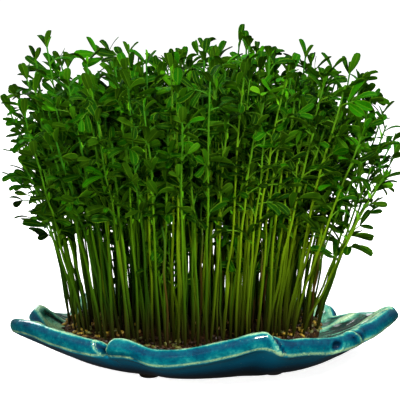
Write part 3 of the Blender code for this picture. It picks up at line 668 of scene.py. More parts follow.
def model_dish():
    """A slab drawn out from its foot to the rim, folded over the lip and back in to its floor, then pressed by hand."""
    angles = column_angles()
    profiles = np.array([dish_profile(float(a)) for a in angles])
    middles = profiles.mean(0)
    piece = drawn_out("glazed_dish", DISH_COLUMNS, [(r, r, z) for r, z in middles])
    mesh = piece.data
    ring, corner = np.divmod(np.arange(len(mesh.vertices)), DISH_COLUMNS)
    column = (corner + DISH_COLUMNS // 4) % DISH_COLUMNS  # a circle's first corner lies at 90 degrees
    outward = np.array([(rim_point(float(a)) - DISH_CENTRE).normalized() for a in angles])[column]
    reach, height = profiles[column, ring].T
    places = np.array(DISH_CENTRE + STAND) + outward * reach[:, None] + np.array([0, 0, 1]) * height[:, None]
    mesh.vertices.foreach_set("co", places.astype(np.float32).ravel())
    # Angles are stored from the back, so that they jump where no work is done.
    write_layer(mesh, "from_back", (angles[column] - 90) % 360)
    write_layer(mesh, "row", ring)

    steps = np.linalg.norm(np.diff(middles, axis=0), axis=1)
    run = np.concatenate([[0], np.cumsum(steps)])
    run /= run[-1]
    layer = mesh.uv_layers.new(name="OFBake")
    for face in mesh.polygons:
        around = [angles[column[n]] / 360 for n in face.vertices]
        wraps = max(around) - min(around) > 0.5 and len(around) == 4
        for loop, n, u in zip(face.loop_indices, face.vertices, around):
            layer.data[loop].uv = (u + 1 if wraps and u < 0.5 else u, run[ring[n]])

    # The two many-sided faces in the middle come off while the rest is smoothed, and are filled again.
    for face in mesh.polygons:
        face.select = face.loop_total > 4
    bpy.ops.object.mode_set(mode="EDIT")
    bpy.ops.mesh.delete(type="ONLY_FACE")
    bpy.ops.object.mode_set(mode="OBJECT")
    finish_with(piece, "SUBSURF", levels=1, render_levels=1)
    bpy.ops.object.mode_set(mode="EDIT")
    bpy.ops.mesh.select_all(action="SELECT")
    bpy.ops.mesh.fill_holes(sides=0)
    bpy.ops.object.mode_set(mode="OBJECT")

    places, normals, _ = arrays_of(piece.data)
    degrees = (read_layer(piece.data, "from_back") + 90) % 360
    row = read_layer(piece.data, "row")
    work, wear_and_painted_light = fingerwork(degrees, row, places)
    write_layer(piece.data, "wear_and_painted_light", wear_and_painted_light)
    for index, place in enumerate(places):
        # Nothing pressed by hand is even: a slow wander, and a fine one from the fingertips.
        place = Vector(place)
        wander = noise.noise(place * 38) * 0.6 + noise.noise(place * 110) * 0.28 + noise.noise(place * 330) * 0.07
        work[index] += wander * min(max((place.z - 8 * MM) / (14 * MM), 0), 1)
    piece.data.vertices.foreach_set("co", (places + normals * work[:, None] * MM).astype(np.float32).ravel())
    piece.data.update()

    # How far each corner stands out from the clay a few mm round it, from -1 in a hollow to 1 on a crest.
    places, normals, edges = arrays_of(piece.data)
    out = ((places - smoothed(places, edges, 5)) * normals).sum(1)
    write_layer(piece.data, "ridge", np.clip(out / (0.3 * MM), -1, 1))
    smooth(piece, 60)
    piece.data.materials.append(glaze_material(float(run[LIP_ROW]), float(run[LOW_ROW])))
    hand_over(piece, "glaze", "dish")


# A foot's rings, from its end up: mm beyond its radius, and height in mm.
FOOT_RINGS = [(-1.2, 0), (-0.3, 0.35), (0, 1.1), (0.3, 2)]


def model_feet(finish):
    """Four stub feet: each a plug of bare clay, flared where it was pressed on, with a softened end."""
    rings = [(FOOT_RADIUS + wider * MM, high * MM) for wider, high in FOOT_RINGS]
    rings.append((FOOT_RADIUS + FOOT_FLARE, UNDERSIDE_Z + 3 * MM))
    for number, (x, y) in enumerate(FEET):
        piece = drawn_out(f"stub_foot_{number + 1}", 32, [(radius, radius, high) for radius, high in rings])
        for vert in piece.data.vertices:
            wander = 1 + 0.05 * noise.noise(Vector((vert.co.x, vert.co.y, number * 0.1)) * 150)
            vert.co = Vector((vert.co.x * wander + x, vert.co.y * wander + y, vert.co.z)) + STAND
        smooth(piece, 40)
        piece.data.materials.append(finish)
        hand_over(piece, "glaze", "dish")


# ---- the root mat ----


def inside_height(degrees, distance):
    """The height of the dish's inner surface at a distance from the dish's centre."""
    profile = [(0.0, FLOOR_Z)] + inside_profile(degrees)
    for (r0, z0), (r1, z1) in zip(profile, profile[1:]):
        if distance <= r1:
            return z0 + (z1 - z0) * (distance - r0) / (r1 - r0)
    return profile[-1][1]


def mat_reach(outward):
    """How far the mat's oval lies from the dish's centre in this direction."""
    start = DISH_CENTRE - MAT_CENTRE
    x, y = start.x / MAT_HALF_LENGTH, start.y / MAT_HALF_DEPTH
    dx, dy = outward.x / MAT_HALF_LENGTH, outward.y / MAT_HALF_DEPTH
    a, b, c = dx * dx + dy * dy, x * dx + y * dy, x * x + y * y - 1
    return (math.sqrt(b * b - a * c) - b) / a


def mat_top(x, y):
    """The height of the mat's top, a low dome."""
    across = (x - MAT_CENTRE.x) / MAT_HALF_LENGTH
    along = (y - MAT_CENTRE.y) / MAT_HALF_DEPTH
    return MAT_TOP_Z - MAT_DOME * (across**2 + along**2)


MAT_SIDES = 180
# The mat's rings, as shares of the way out to its edge: those on the dish, then those on top with how far each sinks,
# in mm.
MAT_UNDER = (0.35, 0.7, 0.97)
MAT_OVER = [(1.0, 2.4), (0.992, 1.2), (0.975, 0.3)]
MAT_OVER += [(share, 0.0) for share in (0.955, 0.92, 0.88, 0.84, 0.79, 0.73, 0.66, 0.58, 0.49, 0.39, 0.28, 0.15)]


def model_mat(finish):
    """The felt of roots: a flat cake drawn out to the dish's wall, then roughened."""
    widths = [share * MAT_HALF_LENGTH for share in (*MAT_UNDER, *(share for share, _ in MAT_OVER))]
    piece = drawn_out("felted_roots", MAT_SIDES, [(wide, wide, n * MM) for n, wide in enumerate(widths)])
    for vert in piece.data.vertices:
        ring, corner = divmod(vert.index, MAT_SIDES)
        degrees = (90 + 360 * corner / MAT_SIDES) % 360
        outward = (rim_point(degrees) - DISH_CENTRE).normalized()
        reach = mat_reach(outward)
        if ring < len(MAT_UNDER):
            share = MAT_UNDER[ring]
            place = DISH_CENTRE + outward * share * reach
            place.z = inside_height(degrees, share * reach) + GAP
        else:
            share, sink = MAT_OVER[ring - len(MAT_UNDER)]
            place = DISH_CENTRE + outward * share * reach
            floor = inside_height(degrees, share * reach) + 2 * GAP
            place.z = max(mat_top(place.x, place.y) - sink * MM, floor)
            lumps = 1.0 * noise.noise(place * 160) + 0.6 * noise.noise(place * 420)
            place.z += lumps * MM - 0.4 * MM
        vert.co = place + STAND
    smooth(piece, 60)
    piece.data.materials.append(finish)
    hand_over(piece, "roots", "root_mat")


# ---- small shapes, modelled once and copied ----


class Form(NamedTuple):
    """A small shape as arrays: corner places, the corners of all faces in a row, the size of each face, and each
    face corner's place on the map."""

    places: np.ndarray
    corners: np.ndarray
    sizes: np.ndarray
    uv: np.ndarray


def read_form(piece, map_corner):
    """Takes a modelled piece as a form, and removes it. map_corner gives a face corner's place on the map, from its
    own place and the face's normal and middle."""
    mesh = piece.data
    places = np.empty(len(mesh.vertices) * 3)
    mesh.vertices.foreach_get("co", places)
    corners = np.empty(len(mesh.loops), int)
    mesh.loops.foreach_get("vertex_index", corners)
    sizes = np.array([face.loop_total for face in mesh.polygons])
    uv = []
    for face in mesh.polygons:
        uv += [map_corner(mesh.vertices[n].co, face.normal, face.center) for n in face.vertices]
    bpy.data.objects.remove(piece)
    return Form(places.reshape(-1, 3), corners, sizes, np.array(uv))


class Growth:
    """Copies of forms gathered into one mesh."""

    def __init__(self):
        self.places, self.corners, self.sizes, self.uv, self.finishes = [], [], [], [], []
        self.count = 0

    def add(self, form, places, origin, size, finish):
        """Adds a copy whose corners lie at these places, with its map set into a cell. finish counts materials."""
        self.places.append(places)
        self.corners.append(form.corners + self.count)
        self.sizes.append(form.sizes)
        self.uv.append(np.array(origin) + (0.02 + 0.96 * form.uv) * np.array(size))
        self.finishes.append(np.full(len(form.sizes), finish))
        self.count += len(places)

    def piece(self, name, materials, degrees=60):
        """The gathered copies as one piece with its own mesh."""
        mesh = bpy.data.meshes.new(name)
        places, corners = np.concatenate(self.places), np.concatenate(self.corners)
        sizes = np.concatenate(self.sizes)
        mesh.vertices.add(len(places))
        mesh.vertices.foreach_set("co", places.astype(np.float32).ravel())
        mesh.loops.add(len(corners))
        mesh.loops.foreach_set("vertex_index", corners.astype(np.int32))
        mesh.polygons.add(len(sizes))
        mesh.polygons.foreach_set("loop_start", np.concatenate([[0], np.cumsum(sizes)[:-1]]).astype(np.int32))
        mesh.polygons.foreach_set("material_index", np.concatenate(self.finishes).astype(np.int32))
        layer = mesh.uv_layers.new(name="OFBake")
        layer.data.foreach_set("uv", np.concatenate(self.uv).astype(np.float32).ravel())
        for material in materials:
            mesh.materials.append(material)
        mesh.update(calc_edges=True)
        made = bpy.data.objects.new(name, mesh)
        bpy.context.collection.objects.link(made)
        smooth(made, degrees)
        return made


def blade_map(stations):
    """Maps a blade's upper face to the left half of its cell, and its lower face to the right half."""
    heights = [s[2] for s in stations]
    halves = [s[0] for s in stations]

    def map_corner(place, normal, _):
        half = float(np.interp(place.z, heights, halves))
        across = 0.5 + 0.5 * max(-1, min(1, place.x / half))
        return (0.5 * across + (0.0 if normal.y > 0 else 0.5), place.z)

    return map_corner


def model_blade(name, stations):
    """A leaf blade, 1 long, flat and with its upper face to +Y: a thin diamond drawn out along its midrib."""
    return read_form(drawn_out(name, 4, stations), blade_map(stations))


def bent_blade(blade, fold, arch, twist):
    """A blade folded along its midrib, arched over backwards, and twisted, by these angles."""
    x, y, z = blade.places.T
    y = y + np.abs(x) * math.tan(fold)
    turn = twist * z
    x, y = x * np.cos(turn) - y * np.sin(turn), x * np.sin(turn) + y * np.cos(turn)
    angle = arch * z
    along = np.where(abs(arch) < 1e-3, z, np.sin(angle) / (arch or 1))
    back = (np.cos(angle) - 1) / (arch or 1)
    return blade._replace(places=np.stack([x, y * np.cos(angle) + back, along + y * np.sin(angle)], 1))


LEAFLET = [
    (0.020, 0.012, 0.0), (0.062, 0.014, 0.10), (0.122, 0.014, 0.28), (0.170, 0.013, 0.50), (0.186, 0.012, 0.72),
    (0.155, 0.010, 0.91), (0.075, 0.006, 1.0),
]  # fmt: skip
YOUNG = [
    (0.020, 0.014, 0.0), (0.062, 0.016, 0.18), (0.100, 0.015, 0.42), (0.105, 0.013, 0.70), (0.075, 0.010, 0.92),
    (0.030, 0.006, 1.0),
]  # fmt: skip
STIPULE = [(0.05, 0.03, 0.0), (0.20, 0.03, 0.35), (0.03, 0.01, 1.0)]


def tube_map(place, normal, middle):
    """Maps a tube's side: round it, then along it."""
    around = math.atan2(place.y, place.x) / math.tau + 0.5
    centre = math.atan2(middle.y, middle.x) / math.tau + 0.5
    if abs(normal.z) < 0.9 and abs(around - centre) > 0.5:
        around += 1 if centre > 0.5 else -1
    return (around, place.z)


def model_tube(name, sides, rings):
    """A stalk, 1 long and 1 in radius, drawn straight up through evenly spaced rings."""
    return read_form(drawn_out(name, sides, [(1, 1, n / (rings - 1)) for n in range(rings)]), tube_map)


def model_lentil(name, flat, husk):
    """A lentil, 1 in radius: a ball pressed this flat. A husk is half of its skin, open like a cup."""
    bpy.ops.object.select_all(action="DESELECT")
    bpy.ops.mesh.primitive_uv_sphere_add(segments=8, ring_count=6, radius=1, location=(0, 0, 0))
    piece = bpy.context.object
    piece.name = name
    bpy.ops.object.mode_set(mode="EDIT")
    bpy.ops.mesh.select_all(action="SELECT")
    if husk:
        bpy.ops.mesh.bisect(plane_co=(0, 0, 0.15), plane_no=(0, 0.25, 1), clear_outer=True)
        bpy.ops.mesh.select_all(action="SELECT")
    bpy.ops.transform.resize(value=(1, 1, flat), center_override=(0, 0, 0))
    bpy.ops.object.mode_set(mode="OBJECT")
    if husk:
        finish_with(piece, "SOLIDIFY", thickness=0.1, offset=-1)
    spread = 0.48 if husk else 0.5
    return read_form(piece, lambda place, normal, middle: (0.5 + spread * place.x, 0.5 + spread * place.y))


# ---- the sprouts ----

LEAF, STEM, HUSK = 0, 1, 2  # places of the materials on a sprout
STEPS = np.linspace(0, 1, 33)  # along a stem or a stalk
# The seed coats' cells on the map lie in one column, and the stems' cells are thin strips beside it.
STEM_CELL, HUSK_CELL = (1 / 32, 1), (0.125, 0.25)
STEM_CELLS_START, HUSK_CELLS_START = 0.75, 0.875
DRIED = 3  # the last stem tint


def stem_line(number):
    """A CAD sprout's foot, the point its stem bends at, and its top."""
    rng = random.Random(number)
    share = math.sqrt((number + 0.5) / CAD_SPROUTS)
    angle = number * GOLDEN_ANGLE
    across, along = share * math.cos(angle), share * math.sin(angle)
    x = MAT_CENTRE.x + STEMS_OUT_X * MAT_HALF_LENGTH * across
    y = MAT_CENTRE.y + STEMS_OUT_Y * MAT_HALF_DEPTH * along
    foot = Vector((x, y, mat_top(x, y) + GAP))
    lean = Vector((LEAN_X * across * share, LEAN_Y * along * share, 0))
    sway = Vector((rng.uniform(-CAD_SWAY, CAD_SWAY), rng.uniform(-CAD_SWAY, CAD_SWAY), 0))
    height = CANOPY_TOP_Z - 26 * MM * share**4 - rng.uniform(0, 24) * MM
    top = Vector((x, y, height)) + lean + sway
    bend = foot.lerp(top, 0.55) - 0.45 * lean + 0.4 * Vector((sway.y, -sway.x, 0))
    return foot + STAND, bend + STAND, top + STAND


def path_through(start, bend, end):
    """Places along a smooth curve, one for each of STEPS."""
    t = STEPS[:, None]
    return np.array(start) * (1 - t) ** 2 + np.array(bend) * 2 * t * (1 - t) + np.array(end) * t * t


def wandered(path, rng, most):
    """The path with a knee at each node of the stem, and none at its ends."""
    knots = np.linspace(0, 1, 9)
    for axis in (0, 1):
        sway = np.array([0.0] + [rng.uniform(-most, most) for _ in knots[1:-1]] + [0.0])
        path[:, axis] += np.interp(STEPS, knots, sway)
    return path


def on_path(path, t):
    """The place on a path at a share, or shares, of its length."""
    return np.stack([np.interp(t, STEPS, path[:, axis]) for axis in range(3)], -1)


def unit(vector):
    """The vector, or vectors, made 1 long."""
    return vector / np.linalg.norm(vector, axis=-1, keepdims=True)


def add_tube(growth, form, path, start_radius, end_radius, origin, size, finish):
    """Lays a copy of a straight tube along a path."""
    x, y, z = form.places.T
    chord = unit(path[-1] - path[0])
    steady = np.eye(3)[np.argmin(np.abs(chord))]
    ahead = unit(np.gradient(path, axis=0))
    side = unit(np.cross(ahead, steady))
    over = np.cross(ahead, side)
    side, over, middle = on_path(side, z), on_path(over, z), on_path(path, z)
    radius = start_radius + (end_radius - start_radius) * z
    places = middle + side * (x * radius)[:, None] + over * (y * radius)[:, None]
    growth.add(form, places, origin, size, finish)


def add_blade(growth, form, base, ahead, up, length, width, tint):
    """Sets a copy of a blade at its base: it points ahead, with its upper face up, and takes one of the leaf tints."""
    ahead = unit(ahead)
    side = unit(np.cross(up, ahead))
    up = np.cross(ahead, side)
    x, y, z = (form.places * length).T
    places = base + side * (x * width)[:, None] + up * y[:, None] + ahead * z[:, None]
    tint = int(min(len(LEAF_TINTS) - 1, max(0, tint)))
    growth.add(form, places, (0.25 * (tint // 4), 0.25 * (tint % 4)), (0.25, 0.25), LEAF)


def turned(vector, axis, angle):
    """A vector turned round a unit axis."""
    return (
        vector * math.cos(angle) + np.cross(axis, vector) * math.sin(angle)
        + axis * float(axis @ vector) * (1 - math.cos(angle))
    )  # fmt: skip


def direction(heading, rise):
    """The unit vector with this heading and rise."""
    return np.array([math.cos(heading) * math.cos(rise), math.sin(heading) * math.cos(rise), math.sin(rise)])


def add_leaf(growth, forms, base, heading, rise, reach, size, pairs, tint, stem_tint, rng):
    """A leaf: a thin stalk that arches over a little, and one or two pairs of leaflets at its end."""
    start = direction(heading, rise + 0.3)
    end = direction(heading + rng.uniform(-0.3, 0.3), rise - 0.15)
    knee = base + start * 0.5 * reach
    tip = knee + end * 0.5 * reach
    path = path_through(base, knee, tip)
    add_tube(
        growth, forms["stalk"], path, 0.5 * MM, 0.32 * MM,
        (STEM_CELLS_START + stem_tint * STEM_CELL[0], 0.72), (STEM_CELL[0], 0.22), STEM,
    )  # fmt: skip
    up = unit(np.cross(np.cross(end, np.array([0, 0, 1.0])), end))
    up = turned(up, end, rng.gauss(0, 0.55))
    side = np.cross(up, end)
    for pair in range(pairs):
        root = on_path(path, 1 - 0.42 * pair)
        spread = rng.uniform(0.35, 0.8) + 0.35 * pair
        for hand in (-1, 1):
            ahead = end * math.cos(spread) + side * hand * math.sin(spread) + up * rng.uniform(-0.1, 0.25)
            face = turned(up, unit(ahead), hand * rng.uniform(-0.7, 0.3))
            add_blade(
                growth, rng.choice(forms["leaflets"]), root, ahead, face,
                size * rng.uniform(0.85, 1.1), rng.uniform(0.85, 1.15), tint + rng.uniform(-1.5, 1.5),
            )  # fmt: skip


def add_tip(growth, forms, path, size, rng):
    """The young leaves at a stem's tip, still folded and upright."""
    top = path[-1]
    ahead = unit(path[-1] - path[-3])
    turn = rng.uniform(0, math.tau)
    for number in range(rng.choice((2, 3, 3, 4))):
        heading = turn + number * math.pi * rng.uniform(0.8, 1.2)
        outer = number < 2
        lean = direction(heading, 0) * (rng.uniform(0.3, 1.0) if outer else rng.uniform(0.1, 0.4))
        add_blade(
            growth, rng.choice(forms["leaflets" if outer else "young"]), top - ahead * rng.uniform(0, 5) * MM,
            ahead + lean, direction(heading + math.pi, 0.2), size * rng.uniform(0.9, 1.2) * (1.0 if outer else 0.6),
            rng.uniform(0.9, 1.3), rng.uniform(1, 6) if outer else rng.uniform(6, 10),
        )  # fmt: skip


def add_sprout(growth, forms, path, radius, leaves, rng, stem_tint, seed):
    """One sprout: a stem along a path, its leaves, its young tip, and the seed at its foot."""
    add_tube(
        growth, forms["stem"], path, radius, 0.62 * radius,
        (STEM_CELLS_START + stem_tint * STEM_CELL[0], 0), STEM_CELL, STEM,
    )  # fmt: skip
    for t, heading, rise, reach, size, pairs in leaves:
        # Leaves higher on a stem take paler tints: young leaves are paler, and the low ones are darkened as painted
        # shade.
        tint = 9 * (t - 0.35) * 0.7 + rng.gauss(0, 2.2)
        base = on_path(path, t)
        add_leaf(growth, forms, base, heading, rise, reach, size, pairs, tint, min(stem_tint, 2), rng)
        add_blade(
            growth, forms["stipule"], base, direction(heading + rng.uniform(-0.8, 0.8), rise + 0.5),
            direction(heading + math.pi, 0.5), rng.uniform(3.5, 6) * MM, 1, rng.uniform(8, 11),
        )  # fmt: skip
    if stem_tint != DRIED:
        add_tip(growth, forms, path, rng.uniform(9.5, 13) * MM, rng)
    if seed:
        add_seed(growth, forms["lentil"], path[0] + np.array([0, 0, 0.6 * MM]), rng)


def add_seed(growth, form, middle, rng, radius=2.3 * MM):
    """A lentil or an empty husk, lying at any tilt."""
    axis = unit(np.array([rng.gauss(0, 1), rng.gauss(0, 1), rng.gauss(0, 0.4)]))
    tilt = rng.gauss(0, 0.5)
    rows = [turned(row, axis, tilt) for row in np.eye(3)]
    places = np.array(middle) + form.places @ np.array(rows) * radius * rng.uniform(0.85, 1.1)
    # The ones at the front are darker, nearly black.
    tint = rng.choice((2, 3, 3) if middle[1] < -38 * MM else (0, 0, 1, 1, 2, 3))
    growth.add(form, places, (HUSK_CELLS_START, tint * HUSK_CELL[1]), HUSK_CELL, HUSK)


def leaf_tips(number, path):
    """Where a CAD sprout's leaves end: the places on it that are furthest from its stem."""
    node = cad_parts[f"sprout_{number + 1:02d}"]
    places = np.array([vert.co for vert in node.data.vertices])
    away = np.linalg.norm(places[:, None] - path[None], axis=2).min(1)
    tips = []
    for index in np.argsort(-away):
        if away[index] < CAD_LEAF_CLEAR:
            break
        if all(np.linalg.norm(places[index] - tip) > CAD_TIPS_APART for tip in tips):
            tips.append(places[index])
    return tips


def cad_leaves(number, path, rng):
    """A leaf for each of the CAD sprout's, aimed at the same place."""
    leaves = []
    for tip in leaf_tips(number, path):
        found = []
        for t in CAD_LEAF_HEIGHTS:
            chord = tip - on_path(path, t)
            found.append((abs(np.linalg.norm(chord) - CAD_LEAF_REACH), t, chord))
        _, t, chord = min(found, key=lambda item: item[0])
        heading = math.atan2(chord[1], chord[0])
        rise = math.asin(max(-1, min(1, chord[2] / np.linalg.norm(chord))))
        reach, size = rng.uniform(10, 13) * MM, rng.uniform(12, 16) * MM
        leaves.append((t, heading, rise, reach, size, rng.choice((1, 1, 2))))
    return leaves


def more_leaves(heading, places, rng):
    """Leaves that stand on alternate sides of a stem."""
    leaves = []
    for t in places:
        heading += math.pi + rng.uniform(-0.6, 0.6)
        rise, reach, size = rng.uniform(0.1, 0.95), rng.uniform(5, 11) * MM, rng.uniform(8.5, 15) * MM
        leaves.append((t, heading, rise, reach, size, rng.choice((1, 1, 2))))
    return leaves


# The top edge of the canopy's dense part seen from the front: X and height in mm.
CROWN = [
    (-129, 158), (-113, 175), (-106, 182), (-100, 191), (-90, 197), (-78, 194), (-64, 193), (-52, 198), (-39, 203),
    (-26, 199), (-13, 201), (0, 206), (13, 208), (26, 205), (39, 201), (52, 199), (64, 204), (77, 197), (90, 197),
    (97, 193), (103, 185), (110, 172), (129, 140),
]  # fmt: skip
# The tips that stand out above it: X and height seen from the front, and how far back the foot is, all in mm.
CREST = [
    (-122, 179, -8), (-116, 187, 6), (-110, 198, -14), (-104, 210, -20), (-97, 220, -26), (-91, 203, 10),
    (-84, 208, -22), (-72, 209, -34), (-54, 206, -38), (-47, 203, 16), (-34, 210, -44), (-18, 207, -30),
    (-12, 209, 20), (3, 214, -40), (11, 213, -52), (25, 221, -30), (31, 220, -38), (36, 216, 5), (44, 214, -50),
    (58, 207, -36), (67, 214, -30), (71, 210, 12), (85, 206, -26), (95, 202, -18), (102, 193, -4), (108, 183, -22),
    (117, 177, 4), (119, 168, -16), (124, 159, -8), (126, 150, 8),
]  # fmt: skip
EYE_HEIGHT = 106 * MM  # a tip that looks this high is this high, however near it is
CREST_FIRST, CREST_LAST = -0.95, 0.975  # how far out on the mat's long axis the crest's feet may stand
TIP_LEAVES = 13 * MM  # how far the young leaves stand up beyond a stem's end
STEM_LENGTHS = 42 * MM  # how much lower than the tallest a full-grown stem may end
SHORT_SHARE = 0.1  # of the stems, none of them at the mat's edge
LEAVES_ON_STEM = 8


def crown_at(x):
    """The height of the canopy's dense part."""
    return float(np.interp(x / MM, [c[0] for c in CROWN], [c[1] for c in CROWN])) * MM


def more_feet(taken):
    """Places on the mat for the rest of the sprouts, none too near another."""
    rng = random.Random(71)
    found = [Vector((foot.x, foot.y, 0)) - STAND for foot in taken]
    first = len(found)
    number = 0
    while len(found) < first + MORE_SPROUTS and number < 20000:
        share = math.sqrt(rng.uniform(0, 1))
        angle = rng.uniform(0, math.tau)
        x = MAT_CENTRE.x + MORE_OUT_X * MAT_HALF_LENGTH * share * math.cos(angle)
        y = MAT_CENTRE.y + MORE_OUT_Y * MAT_HALF_DEPTH * share * math.sin(angle)
        place = Vector((x, y, 0))
        if all((place - other).length_squared > SPROUT_SPACING**2 for other in found):
            found.append(place)
        number += 1
    return [(place.x, place.y) for place in found[first:]]


def stem_tint_at(x, y, rng):
    """Stems painted brighter at the right front and darker elsewhere, as painted light, and a few dried ones."""
    if rng.random() < DRIED_SHARE:
        return DRIED
    painted_brightness = 0.5 + x / (160 * MM) - y / (260 * MM) + rng.uniform(-0.5, 0.5)
    return 0 if painted_brightness > 0.7 else 1 if painted_brightness > 0.2 else 2


# How the copies of a leaflet and of a young leaf are folded, arched and twisted, as angles.
LEAFLET_BENDS = [
    (0.15, 0.5, 0.2), (0.45, 0.25, -0.3), (0.3, 0.9, 0.1), (0.75, -0.2, 0.3), (0.1, -0.35, -0.2), (0.5, 0.6, -0.5),
]  # fmt: skip
YOUNG_BENDS = [(0.9, 0.3, 0.2), (1.1, -0.2, -0.3), (0.6, 0.6, 0.4)]


def model_forms():
    """The small shapes that the sprouts and the litter are put together from."""
    leaflet, young = model_blade("leaflet", LEAFLET), model_blade("young_leaf", YOUNG)
    return {
        "leaflets": [bent_blade(leaflet, *bends) for bends in LEAFLET_BENDS],
        "young": [bent_blade(young, *bends) for bends in YOUNG_BENDS],
        "stipule": model_blade("stipule", STIPULE),
        "stem": model_tube("stem", 5, 16),
        "stalk": model_tube("leaf_stalk", 4, 4),
        "lentil": model_lentil("lentil", 0.5, False),
        "husk": model_lentil("husk", 0.6, True),
    }


def model_cad_sprouts(forms, materials):
    """A sprout in each CAD sprout's place, with leaves where that one's are and four more. Gives their feet."""
    feet = []
    for number in range(CAD_SPROUTS):
        rng = random.Random(300 + number)
        foot, bend, top = stem_line(number)
        feet.append(foot)
        path = path_through(foot, bend, top)
        leaves = cad_leaves(number, path, rng)
        path = wandered(path, rng, 0.7 * MM)
        leaves += more_leaves(rng.uniform(0, math.tau), (0.50, 0.67, 0.80, 0.90), rng)
        growth = Growth()
        tint = min(DRIED - 1, stem_tint_at(foot.x, foot.y, rng))
        add_sprout(growth, forms, path, rng.uniform(0.85, 1.05) * MM, leaves, rng, tint, True)
        piece = growth.piece(f"lentil_sprout_{number + 1:02d}", materials)
        hand_over(piece, "sprouts", f"sprout_{number + 1:02d}")
    return feet


def model_crest(forms, materials):
    """The sprouts whose tips stand out above the canopy, as one piece. Gives their feet."""
    feet = []
    growth = Growth()
    for number, (x, z, y) in enumerate(CREST):
        rng = random.Random(900 + number)
        across = (x * MM - MAT_CENTRE.x) / (MAT_HALF_LENGTH + LEAN_X)
        across = max(CREST_FIRST, min(CREST_LAST, across))
        foot = Vector((MAT_CENTRE.x + across * MAT_HALF_LENGTH, y * MM, 0))
        foot.z = mat_top(foot.x, foot.y) - 2 * MM
        nearer = 1 + 1.3 * foot.y  # what is nearer the front looks larger, so it is made smaller
        level = EYE_HEIGHT + (z * MM - TIP_LEAVES - EYE_HEIGHT) * nearer
        top = Vector((x * MM * nearer, foot.y * 1.2, level - 0.2 * foot.y))
        bend = foot.lerp(top, 0.5) + Vector((rng.uniform(-5, 5) * MM - 0.12 * (top.x - foot.x), 0, 0))
        path = wandered(path_through(foot + STAND, bend + STAND, top + STAND), rng, 1 * MM)
        spots = (0.55, 0.64, 0.72, 0.79, 0.86, 0.93) if z > 170 else (0.7, 0.79, 0.87, 0.94)
        leaves = more_leaves(rng.choice((0, math.pi)) + rng.uniform(-0.5, 0.5), spots, rng)
        add_sprout(growth, forms, path, 0.85 * MM, leaves, rng, rng.choice((1, 1, 2)), True)
        feet.append(foot + STAND)
    hand_over(growth.piece("sprout_crest", materials), "sprouts")
    return feet


def model_bunches(forms, materials, taken):
    """The rest of the sprouts, between the feet that are taken, gathered into bunches round the mat."""
    places = more_feet(taken)
    places.sort(key=lambda p: math.atan2(p[1] - MAT_CENTRE.y, p[0] - MAT_CENTRE.x))
    share_of = len(places) / BUNCHES
    for bunch in range(BUNCHES):
        growth = Growth()
        for number in range(round(bunch * share_of), round((bunch + 1) * share_of)):
            x, y = places[number]
            rng = random.Random(5000 + number)
            across = (x - MAT_CENTRE.x) / (STEMS_OUT_X * MAT_HALF_LENGTH)
            along = (y - MAT_CENTRE.y) / (STEMS_OUT_Y * MAT_HALF_DEPTH)
            share = min(1.0, math.hypot(across, along))
            foot = Vector((x, y, mat_top(x, y) - 1 * MM))
            lean = Vector((LEAN_X * across * share, LEAN_Y * along * share, 0)) * rng.uniform(0.7, 1.15)
            sway = Vector((rng.gauss(0, 6) * MM, rng.gauss(0, 6) * MM, 0))
            top = Vector((x, y, 0)) + lean + sway
            tint = stem_tint_at(x, y, rng)
            short = (rng.random() < SHORT_SHARE and share < 0.85) or tint == DRIED
            height = crown_at(top.x) - TIP_LEAVES - rng.uniform(0, 1) * STEM_LENGTHS - 0.15 * top.y
            grown = rng.uniform(0.5, 0.8) if short else 1
            lean, sway = lean * grown, sway * grown
            top = Vector((x, y, 0)) + (lean + sway) * grown
            top.z = height * grown
            bend = foot.lerp(top, 0.55) - 0.2 * lean + 0.4 * Vector((sway.y, -sway.x, 0))
            path = wandered(path_through(foot + STAND, bend + STAND, top + STAND), rng, 1.2 * MM)
            leaves = []
            if tint != DRIED:
                start = rng.uniform(0.44, 0.54)
                step = (0.97 - start) / LEAVES_ON_STEM
                spots = [start + n * step + rng.uniform(-0.02, 0.02) for n in range(LEAVES_ON_STEM)]
                leaves = more_leaves(math.atan2(along, across) + rng.uniform(-0.8, 0.8), spots, rng)
            add_sprout(growth, forms, path, rng.uniform(0.6, 1.0) * MM, leaves, rng, tint, share > 0.8)
        piece = growth.piece(f"sprout_bunch_{bunch + 1:02d}", materials)
        hand_over(piece, "sprouts")


# ---- seeds and roots at the mat's edge ----


def mat_place(degrees, share):
    """A place on the mat's top, at a share of the way out to its edge."""
    angle = math.radians(degrees)
    x = MAT_CENTRE.x + share * MAT_HALF_LENGTH * math.cos(angle)
    y = MAT_CENTRE.y + share * MAT_HALF_DEPTH * math.sin(angle)
    sink = 2.2 * MM * max(0.0, (share - 0.965) / 0.035)
    return Vector((x, y, mat_top(x, y) - sink)) + STAND


